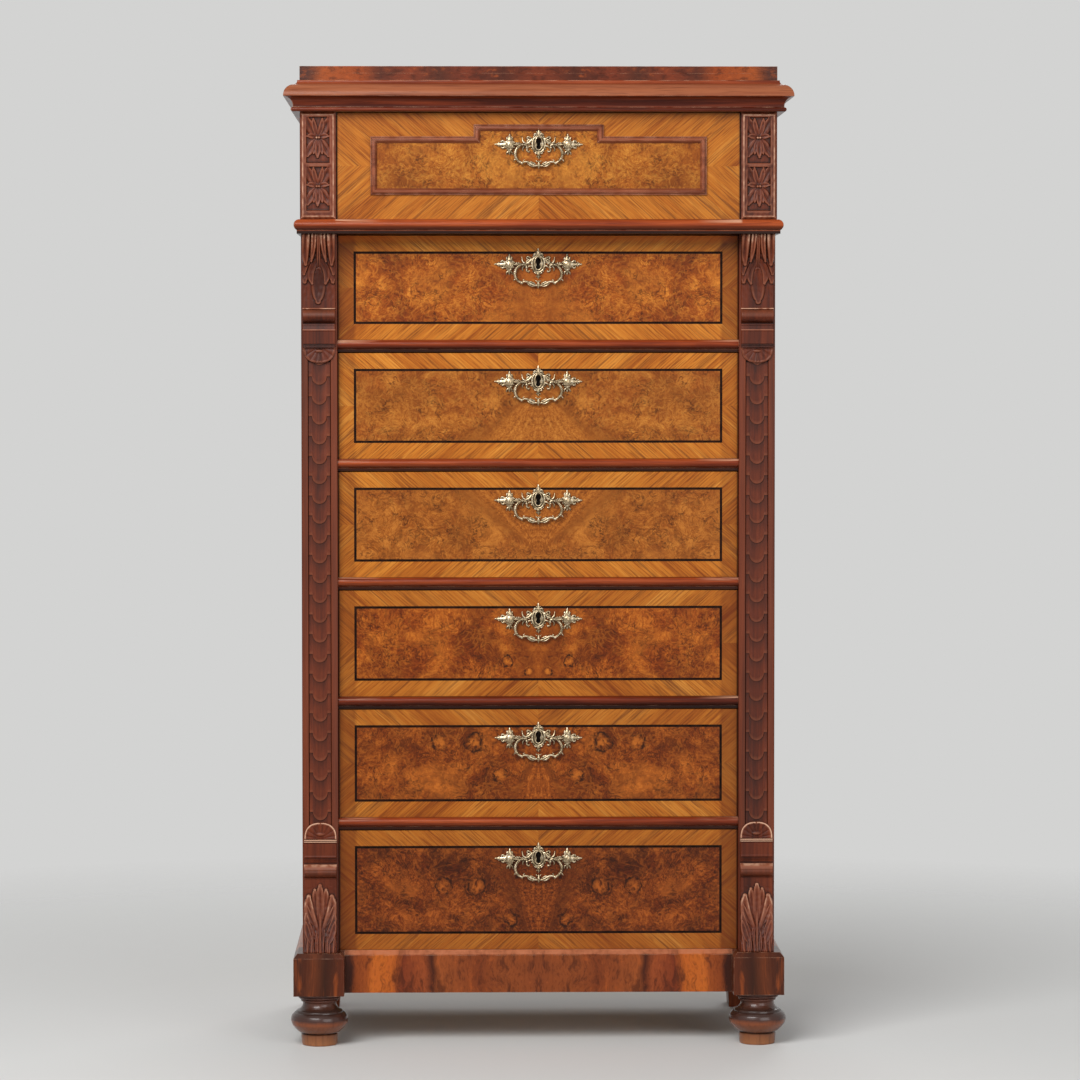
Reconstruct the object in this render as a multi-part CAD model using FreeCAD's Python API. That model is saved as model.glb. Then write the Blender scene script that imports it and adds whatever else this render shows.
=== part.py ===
import FreeCAD, Part
import os
from math import cos, hypot, pi, sin, sqrt

from FreeCAD import Vector

# A semainier: a tall chest of seven drawers, one above the other, between carved pilasters.
# Millimetres. +Z is up, +X is to the right of someone facing the drawers, and the drawers open
# towards -Y. The origin is on the floor, under the centre of the piece's overall box.

# ---------------------------------------------------------------- carcase, in plan
body_width = 678.0              # over the side panels
body_depth = 394.5              # from the pilasters' faces to the back
side_thickness = 18.0
back_thickness = 12.0
back_rebate = 6.0               # how far the back panel is let into each side
pilaster_width = 51.5
pilaster_thickness = 30.0
frieze_projection = 33.0        # the top drawer's section stands out over the pilasters by this
cornice_overhang = 22.5
waist_overhang = 8.75
plinth_overhang = 12.5          # plinth blocks, beyond the sides
plinth_projection = 32.0        # plinth blocks, in front of the pilasters
plinth_block_side = 72.5
drawer_recess = 13.0            # lower drawer faces, behind the pilasters' faces
top_drawer_recess = 6.0         # top drawer face, behind the frieze blocks' faces

# ---------------------------------------------------------------- levels, from the floor up
foot_height = 74.0
plinth_face_height = 54.0       # upright faces of the plinth
plinth_bevel_rise = 7.0         # bevelled top edge all round the plinth
rail_height = 17.3
waist_height = 20.5
cornice_height = 44.5
attic_height = 20.0
drawer_1_opening = 152.0
drawer_2_opening = 150.5
drawer_3_opening = 153.0
drawer_4_opening = 153.0
drawer_5_opening = 154.0
drawer_6_opening = 157.0
drawer_7_opening = 174.0

# ---------------------------------------------------------------- carcase boards
top_board_thickness = 20.0
bottom_board_thickness = 14.0
attic_frame_thickness = 22.0
attic_panel_thickness = 10.0
rail_depth = 60.0               # behind the drawers' faces
rail_housing = 5.0              # how far rails and bottom board are let into the sides
bead_overhang = 9.0             # nose of a rail's bead, in front of the drawers' faces
bead_fillet_height = 4.3
bead_fillet_overhang = 3.0
runner_width = 56.0
guide_height = 20.0
stop_height = 5.0
stop_depth = 12.0
stop_width = 40.0
stop_offset = 120.0             # from the centre line to the middle of a stop

# ---------------------------------------------------------------- plinth and feet
plinth_rail_thickness = 20.0
plinth_rail_setback = 3.0       # plinth rail's face, behind the pilasters' faces
plinth_bevel_run = 5.5
foot_radius = 41.0
foot_neck_radius = 24.5
foot_ring_radius = 32.0
foot_base_radius = 26.0
foot_dowel_radius = 12.0
foot_dowel_length = 26.0
rear_foot_side = 60.0           # plain tapered posts under the rear corners
rear_foot_taper = 5.0           # each side, from top to bottom

# ---------------------------------------------------------------- carved front
pilaster_panel_width = 31.0
pilaster_panel_depth = 5.0
pilaster_panel_margin = 8.0     # plain wood between a console and the sunk panel
console_width = 47.0
upper_console_height = 154.0
lower_console_height = 162.0
console_projection = 26.0
console_block_projection = 8.0
frieze_panel_width = 37.0
frieze_panel_depth = 4.0
frieze_panel_margin = 7.0       # wood over, between and under the two sunk panels
cornice_backing = 40.0          # how far the cornice's wood reaches inwards, under the attic

# ---------------------------------------------------------------- drawers
drawer_side_gap = 0.8
drawer_top_gap = 1.5
drawer_lift = 0.3               # between a drawer and what it runs on
drawer_rear_gap = 8.0
front_thickness = 22.0
drawer_side_thickness = 12.0
drawer_back_thickness = 9.0
drawer_bottom_thickness = 6.0
drawer_bottom_raise = 8.0       # bottom panel, above the lower edge of the sides
groove_depth = 5.0
side_drop = 4.0                 # sides and back are this much lower than the front
dovetail_lap = 7.0              # wood left in front of the tails
dovetail_count = 3
dovetail_share = 0.62           # of each tail's pitch, at its root
dovetail_flare = 3.0            # how much wider a tail is at its tip, each side
joint_clearance = 0.1
overcut = 1.0                   # how far a cutting solid runs past what it cuts

# Moulding on the top drawer's front, mitred round a panel with a raised middle
panel_half_width = 238.5
panel_height = 82.0
panel_bottom = 35.0             # above the drawer's opening
panel_step_half_width = 92.0
panel_step_height = 17.0
panel_moulding_width = 8.5
panel_moulding_height = 5.0

# ---------------------------------------------------------------- lock
keyhole_drop = 42.0             # from the top of the opening to the keyhole's middle
top_keyhole_drop = 45.5         # the same, under the top drawer's moulding
keyhole_height = 16.0
keyhole_width = 5.0
lock_width = 60.0
lock_height = 54.0
lock_thickness = 9.0
lock_wall = 1.8
bolt_width = 20.0
bolt_thickness = 5.0
bolt_length = 24.0
bolt_throw = 8.0
bolt_clearance = 0.4

# ---------------------------------------------------------------- handle
plate_thickness = 2.2
boss_spacing = 82.6
boss_radius = 5.0
boss_height = 10.0
end_leaf_length = 17.2          # beyond the bosses
escutcheon_half_width = 10.5
finial_reach = 18.5
bail_pivot_out = 6.5            # trunnions, in front of the drawer's face
bail_pivot_drop = 1.0           # trunnions, below the keyhole's middle
bail_end_gap = 0.5              # between the bail's arms and the bosses
bail_drop = 31.4                # from the trunnions to the lowest edge
bail_bar = 3.6
bail_thickness = 4.0
trunnion_radius = 1.5
trunnion_clearance = 0.1
trunnion_engagement = 3.6

# ---------------------------------------------------------------- derived places
overall_depth = body_depth + frieze_projection + cornice_overhang
back_y = overall_depth / 2
pilaster_y = back_y - body_depth
frieze_y = pilaster_y - frieze_projection
carcase_front_y = pilaster_y + pilaster_thickness
back_inner_y = back_y - back_thickness
half_body = body_width / 2
inner_half = half_body - side_thickness
opening_half = half_body - pilaster_width
face_y = pilaster_y + drawer_recess
top_face_y = frieze_y + top_drawer_recess
rail_back_y = face_y + rail_depth

boss_x = boss_spacing / 2
bail_half_width = boss_x - boss_radius - bail_end_gap
plate_half_width = boss_x + boss_radius + end_leaf_length

block_outer = half_body + plinth_overhang
block_inner = block_outer - plinth_block_side
block_front_y = pilaster_y - plinth_projection
block_back_y = block_front_y + plinth_block_side
rear_block_y = back_y - plinth_block_side
plinth_rail_y = pilaster_y + plinth_rail_setback
plinth_face_top = foot_height + plinth_face_height
plinth_top = plinth_face_top + plinth_bevel_rise
bottom_board_z = plinth_top - bottom_board_thickness

openings = [drawer_1_opening, drawer_2_opening, drawer_3_opening, drawer_4_opening,
            drawer_5_opening, drawer_6_opening, drawer_7_opening]
spaces = [waist_height] + [rail_height] * 5


def opening_levels():
    """Bottom and top of each drawer's opening, the top drawer first."""
    levels = {}
    level = plinth_top
    for number in range(7, 0, -1):
        levels[number] = (level, level + openings[number - 1])
        level = levels[number][1]
        if number > 1:
            level += spaces[number - 2]
    return levels


levels = opening_levels()
waist_z = levels[2][1]
cornice_z = levels[1][1]
attic_z = cornice_z + cornice_height
overall_height = attic_z + attic_height


def front_face_y(number):
    """Y of a drawer's face."""
    return top_face_y if number == 1 else face_y


def keyhole_z(number):
    """Height of a drawer's keyhole."""
    return levels[number][1] - (top_keyhole_drop if number == 1 else keyhole_drop)


# ---------------------------------------------------------------- helpers
def box(x0, x1, y0, y1, z0, z1):
    """A rectangular board between two corners."""
    return Part.makeBox(x1 - x0, y1 - y0, z1 - z0, Vector(x0, y0, z0))


def centred(half, y0, y1, z0, z1):
    """A board across the piece, half its length each side of the centre line."""
    return box(-half, half, y0, y1, z0, z1)


def mirrored(shape):
    """The same piece on the other side of the centre line."""
    return shape.mirror(Vector(0, 0, 0), Vector(1, 0, 0))


def pair(shape):
    """A right-hand piece and its left-hand twin."""
    return [shape, mirrored(shape)]


def outline(place, start, steps):
    """A closed face. A step is a point, for a line, or (via, end), for an arc."""
    edges = []
    here = start
    for step in list(steps) + [start]:
        if isinstance(step[0], tuple):
            via, end = step
            edges.append(Part.Arc(place(*here), place(*via), place(*end)).toShape())
        else:
            end = step
            if hypot(end[0] - here[0], end[1] - here[1]) < 1e-6:
                continue
            edges.append(Part.makeLine(place(*here), place(*end)))
        here = end
    return Part.Face(Part.Wire(edges))


def quarter(start, end, upright):
    """Step along a quarter round from start to end. It leaves start upright, or level."""
    near = 1 - sqrt(0.5)
    far = sqrt(0.5)
    along, rise = (near, far) if upright else (far, near)
    via = (start[0] + along * (end[0] - start[0]), start[1] + rise * (end[1] - start[1]))
    return (via, end)


def plan_prism(corners, z0, z1):
    """An upright prism on corners in plan."""
    face = outline(lambda x, y: Vector(x, y, z0), corners[0], corners[1:])
    return face.extrude(Vector(0, 0, z1 - z0))


def side_profile(x0, x1, start, steps):
    """A solid across x0 to x1 whose section is drawn in (y, z)."""
    face = outline(lambda y, z: Vector(x0, y, z), start, steps)
    return face.extrude(Vector(x1 - x0, 0, 0))


def mitred_moulding(start, steps, reach, inset, z0, z1):
    """Front and side lengths of a moulding, mitred at the front corners. The section is
    drawn as (out, up), out from the frieze's front and sides."""
    far = half_body + reach
    near = half_body - inset
    fore = frieze_y - reach
    aft = frieze_y + inset
    front = outline(lambda out, up: Vector(-far, frieze_y - out, up), start, steps)
    front = front.extrude(Vector(2 * far, 0, 0))
    front = front.common(plan_prism([(-far, fore), (far, fore), (near, aft), (-near, aft)], z0, z1))
    side = outline(lambda out, up: Vector(half_body + out, fore, up), start, steps)
    side = side.extrude(Vector(0, back_y - fore, 0))
    side = side.common(plan_prism([(far, fore), (far, back_y), (near, back_y), (near, aft)], z0, z1))
    return [front] + pair(side)


# ---------------------------------------------------------------- carcase
def side_panel():
    """Right side: rebated for the back, housed for the rails and the waist board."""
    panel = box(inner_half, half_body, carcase_front_y, back_y, plinth_top, cornice_z)
    panel = panel.cut(box(inner_half, inner_half + back_rebate, back_inner_y, back_y, plinth_top, cornice_z))
    for number in range(2, 8):
        top = levels[number][1]
        housing = box(inner_half, inner_half + rail_housing, carcase_front_y, rail_back_y,
                      top, top + spaces[number - 2])
        panel = panel.cut(housing)
    return panel


def back_panel():
    """Five upright boards, edge to edge, in the sides' rebates."""
    boards = []
    count = 5
    half = inner_half + back_rebate
    width = 2 * half / count
    for i in range(count):
        left = -half + i * width
        boards.append(box(left, left + width, back_inner_y, back_y, plinth_top, cornice_z))
    return boards


def bottom_board():
    """Lies in the plinth's rebates, between the four corner blocks."""
    board = centred(inner_half + rail_housing, block_back_y, rear_block_y, bottom_board_z, plinth_top)
    tongues = centred(block_inner, plinth_rail_y + plinth_rail_thickness, back_inner_y,
                      bottom_board_z, plinth_top)
    return board.fuse(tongues).removeSplitter()


def top_board():
    """Closes the carcase over the top drawer, with the mortise of its lock bolt."""
    board = centred(half_body, frieze_y, back_y, cornice_z, cornice_z + top_board_thickness)
    return board.cut(bolt_mortise(1))


def cornice_moulding():
    """Bead, cove, ovolo and cavetto, from the bottom up, and a plain rail across the back."""
    z = cornice_z
    neck = 9.4
    bead = 3.0
    bead_fillet = 1.0
    cove_rise = 14.1
    lip = 1.0
    ovolo_rise = 17.4
    ovolo_in = 7.2
    cap = 3.3
    bead_top = z + 2 * bead
    cove_start = bead_top + bead_fillet
    cove_top = cove_start + cove_rise
    ovolo_top = cove_top + ovolo_rise
    top = z + cornice_height
    soffit = cornice_overhang - lip
    steps = [
        (neck, z),
        ((neck + bead, z + bead), (neck, bead_top)),
        (neck, cove_start),
        quarter((neck, cove_start), (soffit, cove_top), True),
        (cornice_overhang, cove_top),
        quarter((cornice_overhang, cove_top), (ovolo_in, ovolo_top), True),
        quarter((ovolo_in, ovolo_top), (cap, top), False),
        (-cornice_backing, top),
        (-cornice_backing, z + top_board_thickness),
        (0, z + top_board_thickness),
    ]
    lengths = mitred_moulding((0, z), steps, cornice_overhang, cornice_backing, z, top)
    back_rail = centred(half_body - cornice_backing, back_inner_y, back_y, z + top_board_thickness, top)
    return lengths + [back_rail]


def attic_box():
    """Low box on the cornice: mitred front and sides, a back rail and the flat top panel."""
    t = attic_frame_thickness
    top = overall_height
    section = [(-t, attic_z), (-t, top - attic_panel_thickness), (0, top - attic_panel_thickness)]
    frame = mitred_moulding((0, attic_z), section, 0.0, t, attic_z, top)
    rail = centred(half_body - t, back_y - t, back_y, attic_z, top - attic_panel_thickness)
    panel = centred(half_body, frieze_y, back_y, top - attic_panel_thickness, top)
    return frame + [rail, panel]


def waist_moulding():
    """Torus over a fillet, round the front and sides under the top drawer."""
    fillet = 4.0
    fillet_out = 4.5
    radius = (waist_height - fillet) / 2
    centre_out = waist_overhang - radius
    centre_up = waist_z + fillet + radius
    meet = centre_up - sqrt(radius ** 2 - (fillet_out - centre_out) ** 2)
    steps = [
        (fillet_out, waist_z),
        (fillet_out, meet),
        ((waist_overhang, centre_up), (centre_out, waist_z + waist_height)),
        (0, waist_z + waist_height),
    ]
    return mitred_moulding((0, waist_z), steps, waist_overhang, 0.0, waist_z, waist_z + waist_height)


def bolt_y(number):
    """Middle of a lock bolt's thickness."""
    return front_face_y(number) + front_thickness - lock_thickness / 2


def bolt_mortise(number):
    """Space for a drawer's lock bolt, in the underside of what lies over the drawer."""
    room = bolt_thickness / 2 + bolt_clearance
    top = levels[number][1]
    return centred(bolt_width / 2 + bolt_clearance, bolt_y(number) - room, bolt_y(number) + room,
                   top, top + bolt_throw + bolt_clearance)


def bead_rail(number):
    """Rail over drawer `number`, with a round nose over a fillet."""
    z = levels[number][1]
    radius = (rail_height - bead_fillet_height) / 2
    centre_y = face_y - bead_overhang + radius
    centre_z = z + bead_fillet_height + radius
    fillet_y = face_y - bead_fillet_overhang
    meet = centre_z - sqrt(radius ** 2 - (fillet_y - centre_y) ** 2)
    steps = [
        (fillet_y, z),
        (fillet_y, meet),
        ((face_y - bead_overhang, centre_z), (centre_y, z + rail_height)),
        (rail_back_y, z + rail_height),
    ]
    nose = side_profile(-opening_half, opening_half, (rail_back_y, z), steps)
    arms = centred(inner_half + rail_housing, carcase_front_y, rail_back_y, z, z + rail_height)
    return nose.fuse(arms).removeSplitter().cut(bolt_mortise(number))


def waist_board():
    """Board under the top drawer: it carries the frieze blocks and the waist moulding."""
    z = waist_z
    fore = centred(half_body, frieze_y, carcase_front_y, z, z + waist_height)
    aft = centred(inner_half + rail_housing, carcase_front_y, rail_back_y, z, z + waist_height)
    return fore.fuse(aft).removeSplitter().cut(bolt_mortise(2))


def drawer_stops():
    """Small blocks that stop each drawer front flush, two to a drawer."""
    stops = []
    for number in levels:
        bottom = levels[number][0]
        y = front_face_y(number) + front_thickness + drawer_lift
        x = stop_offset - stop_width / 2
        stops += pair(box(x, x + stop_width, y, y + stop_depth, bottom, bottom + stop_height))
    return stops


def drawer_rails():
    """The waist board, five beaded rails, and the drawer stops on them."""
    return [waist_board()] + [bead_rail(number) for number in range(3, 8)] + drawer_stops()


def drawer_runners():
    """A guide beside each drawer side, and a runner under it, where no bottom board is."""
    pieces = []
    for number in levels:
        bottom = levels[number][0]
        guide = box(opening_half, inner_half, carcase_front_y, back_inner_y, bottom, bottom + guide_height)
        pieces += pair(guide)
        if number < 7:
            runner = box(inner_half - runner_width, inner_half, rail_back_y, back_inner_y,
                         bottom - spaces[number - 1], bottom)
            pieces += pair(runner)
    return pieces


# ---------------------------------------------------------------- carved front
def pilaster():
    """Right pilaster, with a sunk panel between its two consoles."""
    post = box(opening_half, half_body, pilaster_y, carcase_front_y, plinth_top, waist_z)
    middle = (opening_half + half_body) / 2
    low = plinth_top + lower_console_height + pilaster_panel_margin
    high = waist_z - upper_console_height - pilaster_panel_margin
    sunk = box(middle - pilaster_panel_width / 2, middle + pilaster_panel_width / 2,
               pilaster_y, pilaster_y + pilaster_panel_depth, low, high)
    return post.cut(sunk)


def console(foot_z, direction, height):
    """A scrolled bracket on the right pilaster. foot_z is its wide end, which carries or
    meets a moulding, and direction is +1 where the bracket rises from there, -1 where it
    hangs from there."""
    def at(out, along):
        return (pilaster_y - out, foot_z + direction * along)

    wide = console_projection
    lip = 5.0
    shaft = 6.0
    roll = 14.0
    fillet = 4.0
    fillet_height = 6.0
    block_height = 21.0
    cove_height = 11.0
    roll_height = 18.0
    shaft_height = 8.0
    block_end = height - fillet_height
    block_start = block_end - block_height
    roll_end = block_start - cove_height
    roll_start = roll_end - roll_height
    leaf_end = roll_start - shaft_height
    steps = [
        at(wide, 0),
        at(wide, lip),
        (at(0.36 * wide, 0.45 * leaf_end), at(shaft, leaf_end)),
        at(shaft, roll_start),
        (at(roll, (roll_start + roll_end) / 2), at(shaft, roll_end)),
        at(shaft, block_start),
        at(console_block_projection, block_start),
        at(console_block_projection, block_end),
        at(fillet, block_end),
        at(fillet, height),
        at(0, height),
    ]
    middle = (opening_half + half_body) / 2
    return side_profile(middle - console_width / 2, middle + console_width / 2, at(0, 0), steps)


def frieze_block():
    """Right block beside the top drawer, with two sunk panels one over the other."""
    block = box(opening_half, half_body, frieze_y, carcase_front_y, levels[1][0], cornice_z)
    middle = (opening_half + half_body) / 2
    height = (drawer_1_opening - 3 * frieze_panel_margin) / 2
    for i in range(2):
        z = levels[1][0] + frieze_panel_margin + i * (height + frieze_panel_margin)
        sunk = box(middle - frieze_panel_width / 2, middle + frieze_panel_width / 2,
                   frieze_y, frieze_y + frieze_panel_depth, z, z + height)
        block = block.cut(sunk)
    return block


# ---------------------------------------------------------------- plinth and feet
def bevelled_rail(x0, x1):
    """Front rail's section from x0 to x1, bevelled at the top of its face."""
    back = plinth_rail_y + plinth_rail_thickness
    return side_profile(x0, x1, (back, foot_height),
                        [(plinth_rail_y, foot_height), (plinth_rail_y, plinth_face_top),
                         (plinth_rail_y + plinth_bevel_run, plinth_top), (back, plinth_top)])


def side_bevel(x, inward, corners):
    """What a bevel takes off an upright face at x. inward is +1 where the wood lies on the
    far side of x from the centre line, and corners bound the cut in plan."""
    run = inward * plinth_bevel_run
    past = -inward * overcut
    rise = plinth_top + overcut
    face = outline(lambda out, up: Vector(out, block_front_y - overcut, up), (x, plinth_face_top),
                   [(x + run, plinth_top), (x + run, rise), (x + past, rise), (x + past, plinth_face_top)])
    wedge = face.extrude(Vector(0, overall_depth, 0))
    return wedge.common(plan_prism(corners, foot_height, rise))


def front_block():
    """Right front corner block: bevelled in front and on both sides, down to the rail's own
    bevel, and bored for the foot's dowel."""
    run = plinth_bevel_run
    block = side_profile(block_inner, block_outer, (block_back_y, foot_height),
                         [(block_front_y, foot_height), (block_front_y, plinth_face_top),
                          (block_front_y + run, plinth_top), (block_back_y, plinth_top)])
    fore = block_front_y - overcut
    outside = block_outer + overcut
    inside = block_inner - overcut
    bevel_foot = block_outer - run - overcut
    outer = [(bevel_foot, fore), (outside, fore), (outside, block_back_y), (bevel_foot, block_back_y)]
    inner = [(inside, fore), (block_inner + run, fore), (block_inner + run, plinth_rail_y + run),
             (block_inner, plinth_rail_y), (inside, plinth_rail_y)]
    block = block.cut([side_bevel(block_outer, -1, outer), side_bevel(block_inner, 1, inner)])
    corner = plan_prism([(block_inner, plinth_rail_y), (block_inner + run, plinth_rail_y + run),
                         (block_inner, plinth_rail_y + run)], plinth_face_top, plinth_top)
    valley = corner.cut(bevelled_rail(block_inner, block_inner + run))
    x, y = front_foot_centre()
    bore = Part.makeCylinder(foot_dowel_radius + joint_clearance, foot_dowel_length + joint_clearance,
                             Vector(x, y, foot_height))
    return block.cut([valley, bore])


def bevelled_side(x0, y0, y1):
    """A plinth piece along the right side, from x0 out to the plinth's bevelled face."""
    section = outline(lambda x, z: Vector(x, y0, z), (x0, foot_height),
                      [(block_outer, foot_height), (block_outer, plinth_face_top),
                       (block_outer - plinth_bevel_run, plinth_top), (x0, plinth_top)])
    return section.extrude(Vector(0, y1 - y0, 0))


def plinth_rails():
    """Front rail, back rail, and side rails rebated for the bottom board."""
    front = bevelled_rail(-block_inner, block_inner)
    back = centred(block_inner, back_inner_y, back_y, foot_height, plinth_top)
    side = bevelled_side(inner_half, block_back_y, rear_block_y)
    rebate = box(inner_half, inner_half + rail_housing, block_back_y, rear_block_y,
                 bottom_board_z, plinth_top)
    return [front, back] + pair(side.cut(rebate))


def plinth_blocks():
    """Four corner blocks."""
    return pair(front_block()) + pair(bevelled_side(block_inner, rear_block_y, back_y))


def front_foot_centre():
    """Plan centre of the right front foot."""
    return (block_inner + plinth_block_side / 2, block_front_y + plinth_block_side / 2)


def turned_foot():
    """Right front foot, turned: base, bun, neck, ring and dowel."""
    h = foot_height
    base_top = 0.24 * h
    bun_low = 0.38 * h
    bun_middle = 0.53 * h
    bun_high = 0.69 * h
    neck_start = 0.78 * h
    neck_end = 0.86 * h
    ring_start = 0.95 * h
    under_bun = 3.0
    over_bun = 8.0
    steps = [
        (foot_base_radius, 0),
        (foot_base_radius, base_top),
        (foot_radius - under_bun, bun_low),
        (foot_radius, bun_middle),
        (foot_radius - over_bun, bun_high),
        (foot_neck_radius, neck_start),
        (foot_neck_radius, neck_end),
        (foot_ring_radius, ring_start),
        (foot_ring_radius, h),
        (foot_dowel_radius, h),
        (foot_dowel_radius, h + foot_dowel_length),
        (0, h + foot_dowel_length),
    ]
    half = outline(lambda r, z: Vector(r, 0, z), (0, 0), steps)
    turned = half.revolve(Vector(0, 0, 0), Vector(0, 0, 1), 360)
    x, y = front_foot_centre()
    return turned.translated(Vector(x, y, 0))


def rear_foot():
    """Right rear foot: a square post flush with the plinth's outer corner, tapered inwards."""
    def square(side, z):
        x1 = block_outer
        y1 = back_y
        points = [(x1 - side, y1 - side), (x1, y1 - side), (x1, y1), (x1 - side, y1)]
        return Part.makePolygon([Vector(x, y, z) for x, y in points + points[:1]])

    return Part.makeLoft([square(rear_foot_side - rear_foot_taper, 0), square(rear_foot_side, foot_height)],
                         True, True)


def feet():
    """Two turned feet in front and two plain ones behind."""
    return pair(turned_foot()) + pair(rear_foot())


# ---------------------------------------------------------------- drawers
class Drawer:
    """Places of one drawer's boards."""

    def __init__(self, number):
        bottom, top = levels[number]
        self.number = number
        self.half = opening_half - drawer_side_gap
        self.face = front_face_y(number)
        self.inner = self.face + front_thickness
        self.back = back_inner_y - drawer_rear_gap
        self.bottom = bottom + drawer_lift
        self.top = top - drawer_top_gap
        self.side_top = self.top - side_drop
        self.panel_z = self.bottom + drawer_bottom_raise
        self.panel_top = self.panel_z + drawer_bottom_thickness
        self.keyhole = keyhole_z(number)

    def tails(self, root_y, tip_y, low, high, grow):
        """Dovetail tails along a side's end, from root_y to tip_y, grown by `grow`."""
        x0 = self.half - drawer_side_thickness - grow
        pitch = (high - low) / dovetail_count
        prisms = []
        for i in range(dovetail_count):
            middle = low + (i + 0.5) * pitch
            root = pitch * dovetail_share / 2 + grow
            tip = root + dovetail_flare
            past = tip_y + grow if tip_y > root_y else tip_y - grow
            prisms.append(side_profile(x0, self.half, (root_y, middle - root),
                                       [(past, middle - tip), (past, middle + tip),
                                        (root_y, middle + root)]))
        return prisms

    def front_tails(self, grow):
        return self.tails(self.inner, self.face + dovetail_lap, self.bottom, self.side_top, grow)

    def rear_tails(self, grow):
        return self.tails(self.back - drawer_back_thickness, self.back, self.panel_top, self.side_top, grow)

    def front(self):
        """Front board: sockets for the tails, groove, lock recess and keyhole."""
        board = centred(self.half, self.face, self.inner, self.bottom, self.top)
        sockets = self.front_tails(joint_clearance)
        cuts = sockets + [mirrored(socket) for socket in sockets]
        grown = joint_clearance
        cuts.append(centred(self.half - drawer_side_thickness + groove_depth + grown,
                            self.inner - groove_depth - grown, self.inner,
                            self.panel_z - grown, self.panel_top + grown))
        cuts.append(centred(lock_width / 2 + grown, self.inner - lock_thickness - grown, self.inner,
                            self.top - lock_height - grown, self.top))
        cuts.append(key_slot(self.face, self.inner, self.keyhole))
        return board.cut(cuts)

    def side(self):
        """Right side board with its tails and the groove for the bottom panel."""
        board = box(self.half - drawer_side_thickness, self.half, self.inner,
                    self.back - drawer_back_thickness, self.bottom, self.side_top)
        rear_foot = box(self.half - drawer_side_thickness, self.half, self.back - drawer_back_thickness,
                        self.back, self.bottom, self.panel_top)
        board = board.fuse([rear_foot] + self.front_tails(0) + self.rear_tails(0)).removeSplitter()
        inside = self.half - drawer_side_thickness
        groove = box(inside, inside + groove_depth + joint_clearance, self.face, self.back,
                     self.panel_z - joint_clearance, self.panel_top + joint_clearance)
        return board.cut(groove)

    def back_board(self):
        """Back board over the bottom panel, with sockets for the sides' rear tails."""
        board = centred(self.half, self.back - drawer_back_thickness, self.back,
                        self.panel_top + joint_clearance, self.side_top)
        sockets = self.rear_tails(joint_clearance)
        return board.cut(sockets + [mirrored(socket) for socket in sockets])

    def bottom_panel(self):
        """Thin panel in the grooves of the front and sides, under the back board."""
        return centred(self.half - drawer_side_thickness + groove_depth, self.inner - groove_depth,
                       self.back, self.panel_z, self.panel_top)

    def box(self):
        return pair(self.side()) + [self.back_board(), self.bottom_panel()]

    def lock(self):
        """Lock case let into the front, with the bolt's channel and the key's hole."""
        fore = self.inner - lock_thickness
        case = centred(lock_width / 2, fore, self.inner, self.top - lock_height, self.top)
        room = bolt_clearance
        middle = bolt_y(self.number)
        channel = centred(bolt_width / 2 + room, middle - bolt_thickness / 2 - room,
                          middle + bolt_thickness / 2 + room, self.top - bolt_length - room, self.top)
        key = key_slot(fore, self.inner - lock_wall, self.keyhole)
        return case.cut([channel, key])

    def bolt(self):
        """Bolt, drawn back flush with the top of the front."""
        middle = bolt_y(self.number)
        return centred(bolt_width / 2, middle - bolt_thickness / 2, middle + bolt_thickness / 2,
                       self.top - bolt_length, self.top)


def key_slot(y0, y1, z):
    """Plain slot for the key, from y0 to y1, hidden behind the plate's keyhole."""
    return centred(keyhole_width / 2, y0, y1, z - keyhole_height / 2, z + keyhole_height / 2)


def keyhole(y0, y1, z):
    """The plate's keyhole, from y0 to y1: a six-sided eye over a slot that widens downwards."""
    eye = 0.62 * keyhole_width
    top = z + keyhole_height / 2
    waist = top - 1.8 * eye
    low = z - keyhole_height / 2
    half = keyhole_width / 2
    half_eye = eye * 0.5
    face = outline(lambda x, up: Vector(x, y0, up), (-half, low),
                   [(half, low), (half_eye, waist), (eye, top - eye), (half_eye, top),
                    (-half_eye, top), (-eye, top - eye), (-half_eye, waist)])
    return face.extrude(Vector(0, y1 - y0, 0))


def panel_moulding(drawer):
    """Applied moulding on the top drawer's front, eight mitred lengths."""
    low = levels[1][0] + panel_bottom
    high = low + panel_height
    raised = high + panel_step_height

    def path(inset):
        wide = panel_half_width - inset
        step = panel_step_half_width - inset
        return [(-wide, low + inset), (wide, low + inset), (wide, high - inset), (step, high - inset),
                (step, raised - inset), (-step, raised - inset), (-step, high - inset),
                (-wide, high - inset)]

    outer = path(0)
    inner = path(panel_moulding_width)
    pieces = []
    for i in range(len(outer)):
        j = (i + 1) % len(outer)
        corners = [outer[i], outer[j], inner[j], inner[i]]
        prism = outline(lambda x, z: Vector(x, drawer.face, z), corners[0], corners[1:])
        prism = prism.extrude(Vector(0, -panel_moulding_height, 0))
        pieces.append(prism.common(moulding_length(drawer.face, outer[i], outer[j])))
    return pieces


def moulding_length(face, start, end):
    """A bevelled length on a drawer's face, its outer edge from start to end, running past
    both ends so that a mitre can trim it."""
    length = hypot(end[0] - start[0], end[1] - start[1])
    along = ((end[0] - start[0]) / length, (end[1] - start[1]) / length)
    inward = (-along[1], along[0])
    past = 2 * panel_moulding_width

    def place(across, out):
        x = start[0] - along[0] * past + inward[0] * across
        z = start[1] - along[1] * past + inward[1] * across
        return Vector(x, face - out, z)

    wide = panel_moulding_width
    high = panel_moulding_height
    edge = 0.3 * high
    bevel = 0.28 * wide
    section = outline(place, (0, 0), [(0, edge), (bevel, high), (wide - bevel, high),
                                      (wide, edge), (wide, 0)])
    run = length + 2 * past
    return section.extrude(Vector(along[0] * run, 0, along[1] * run))


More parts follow.
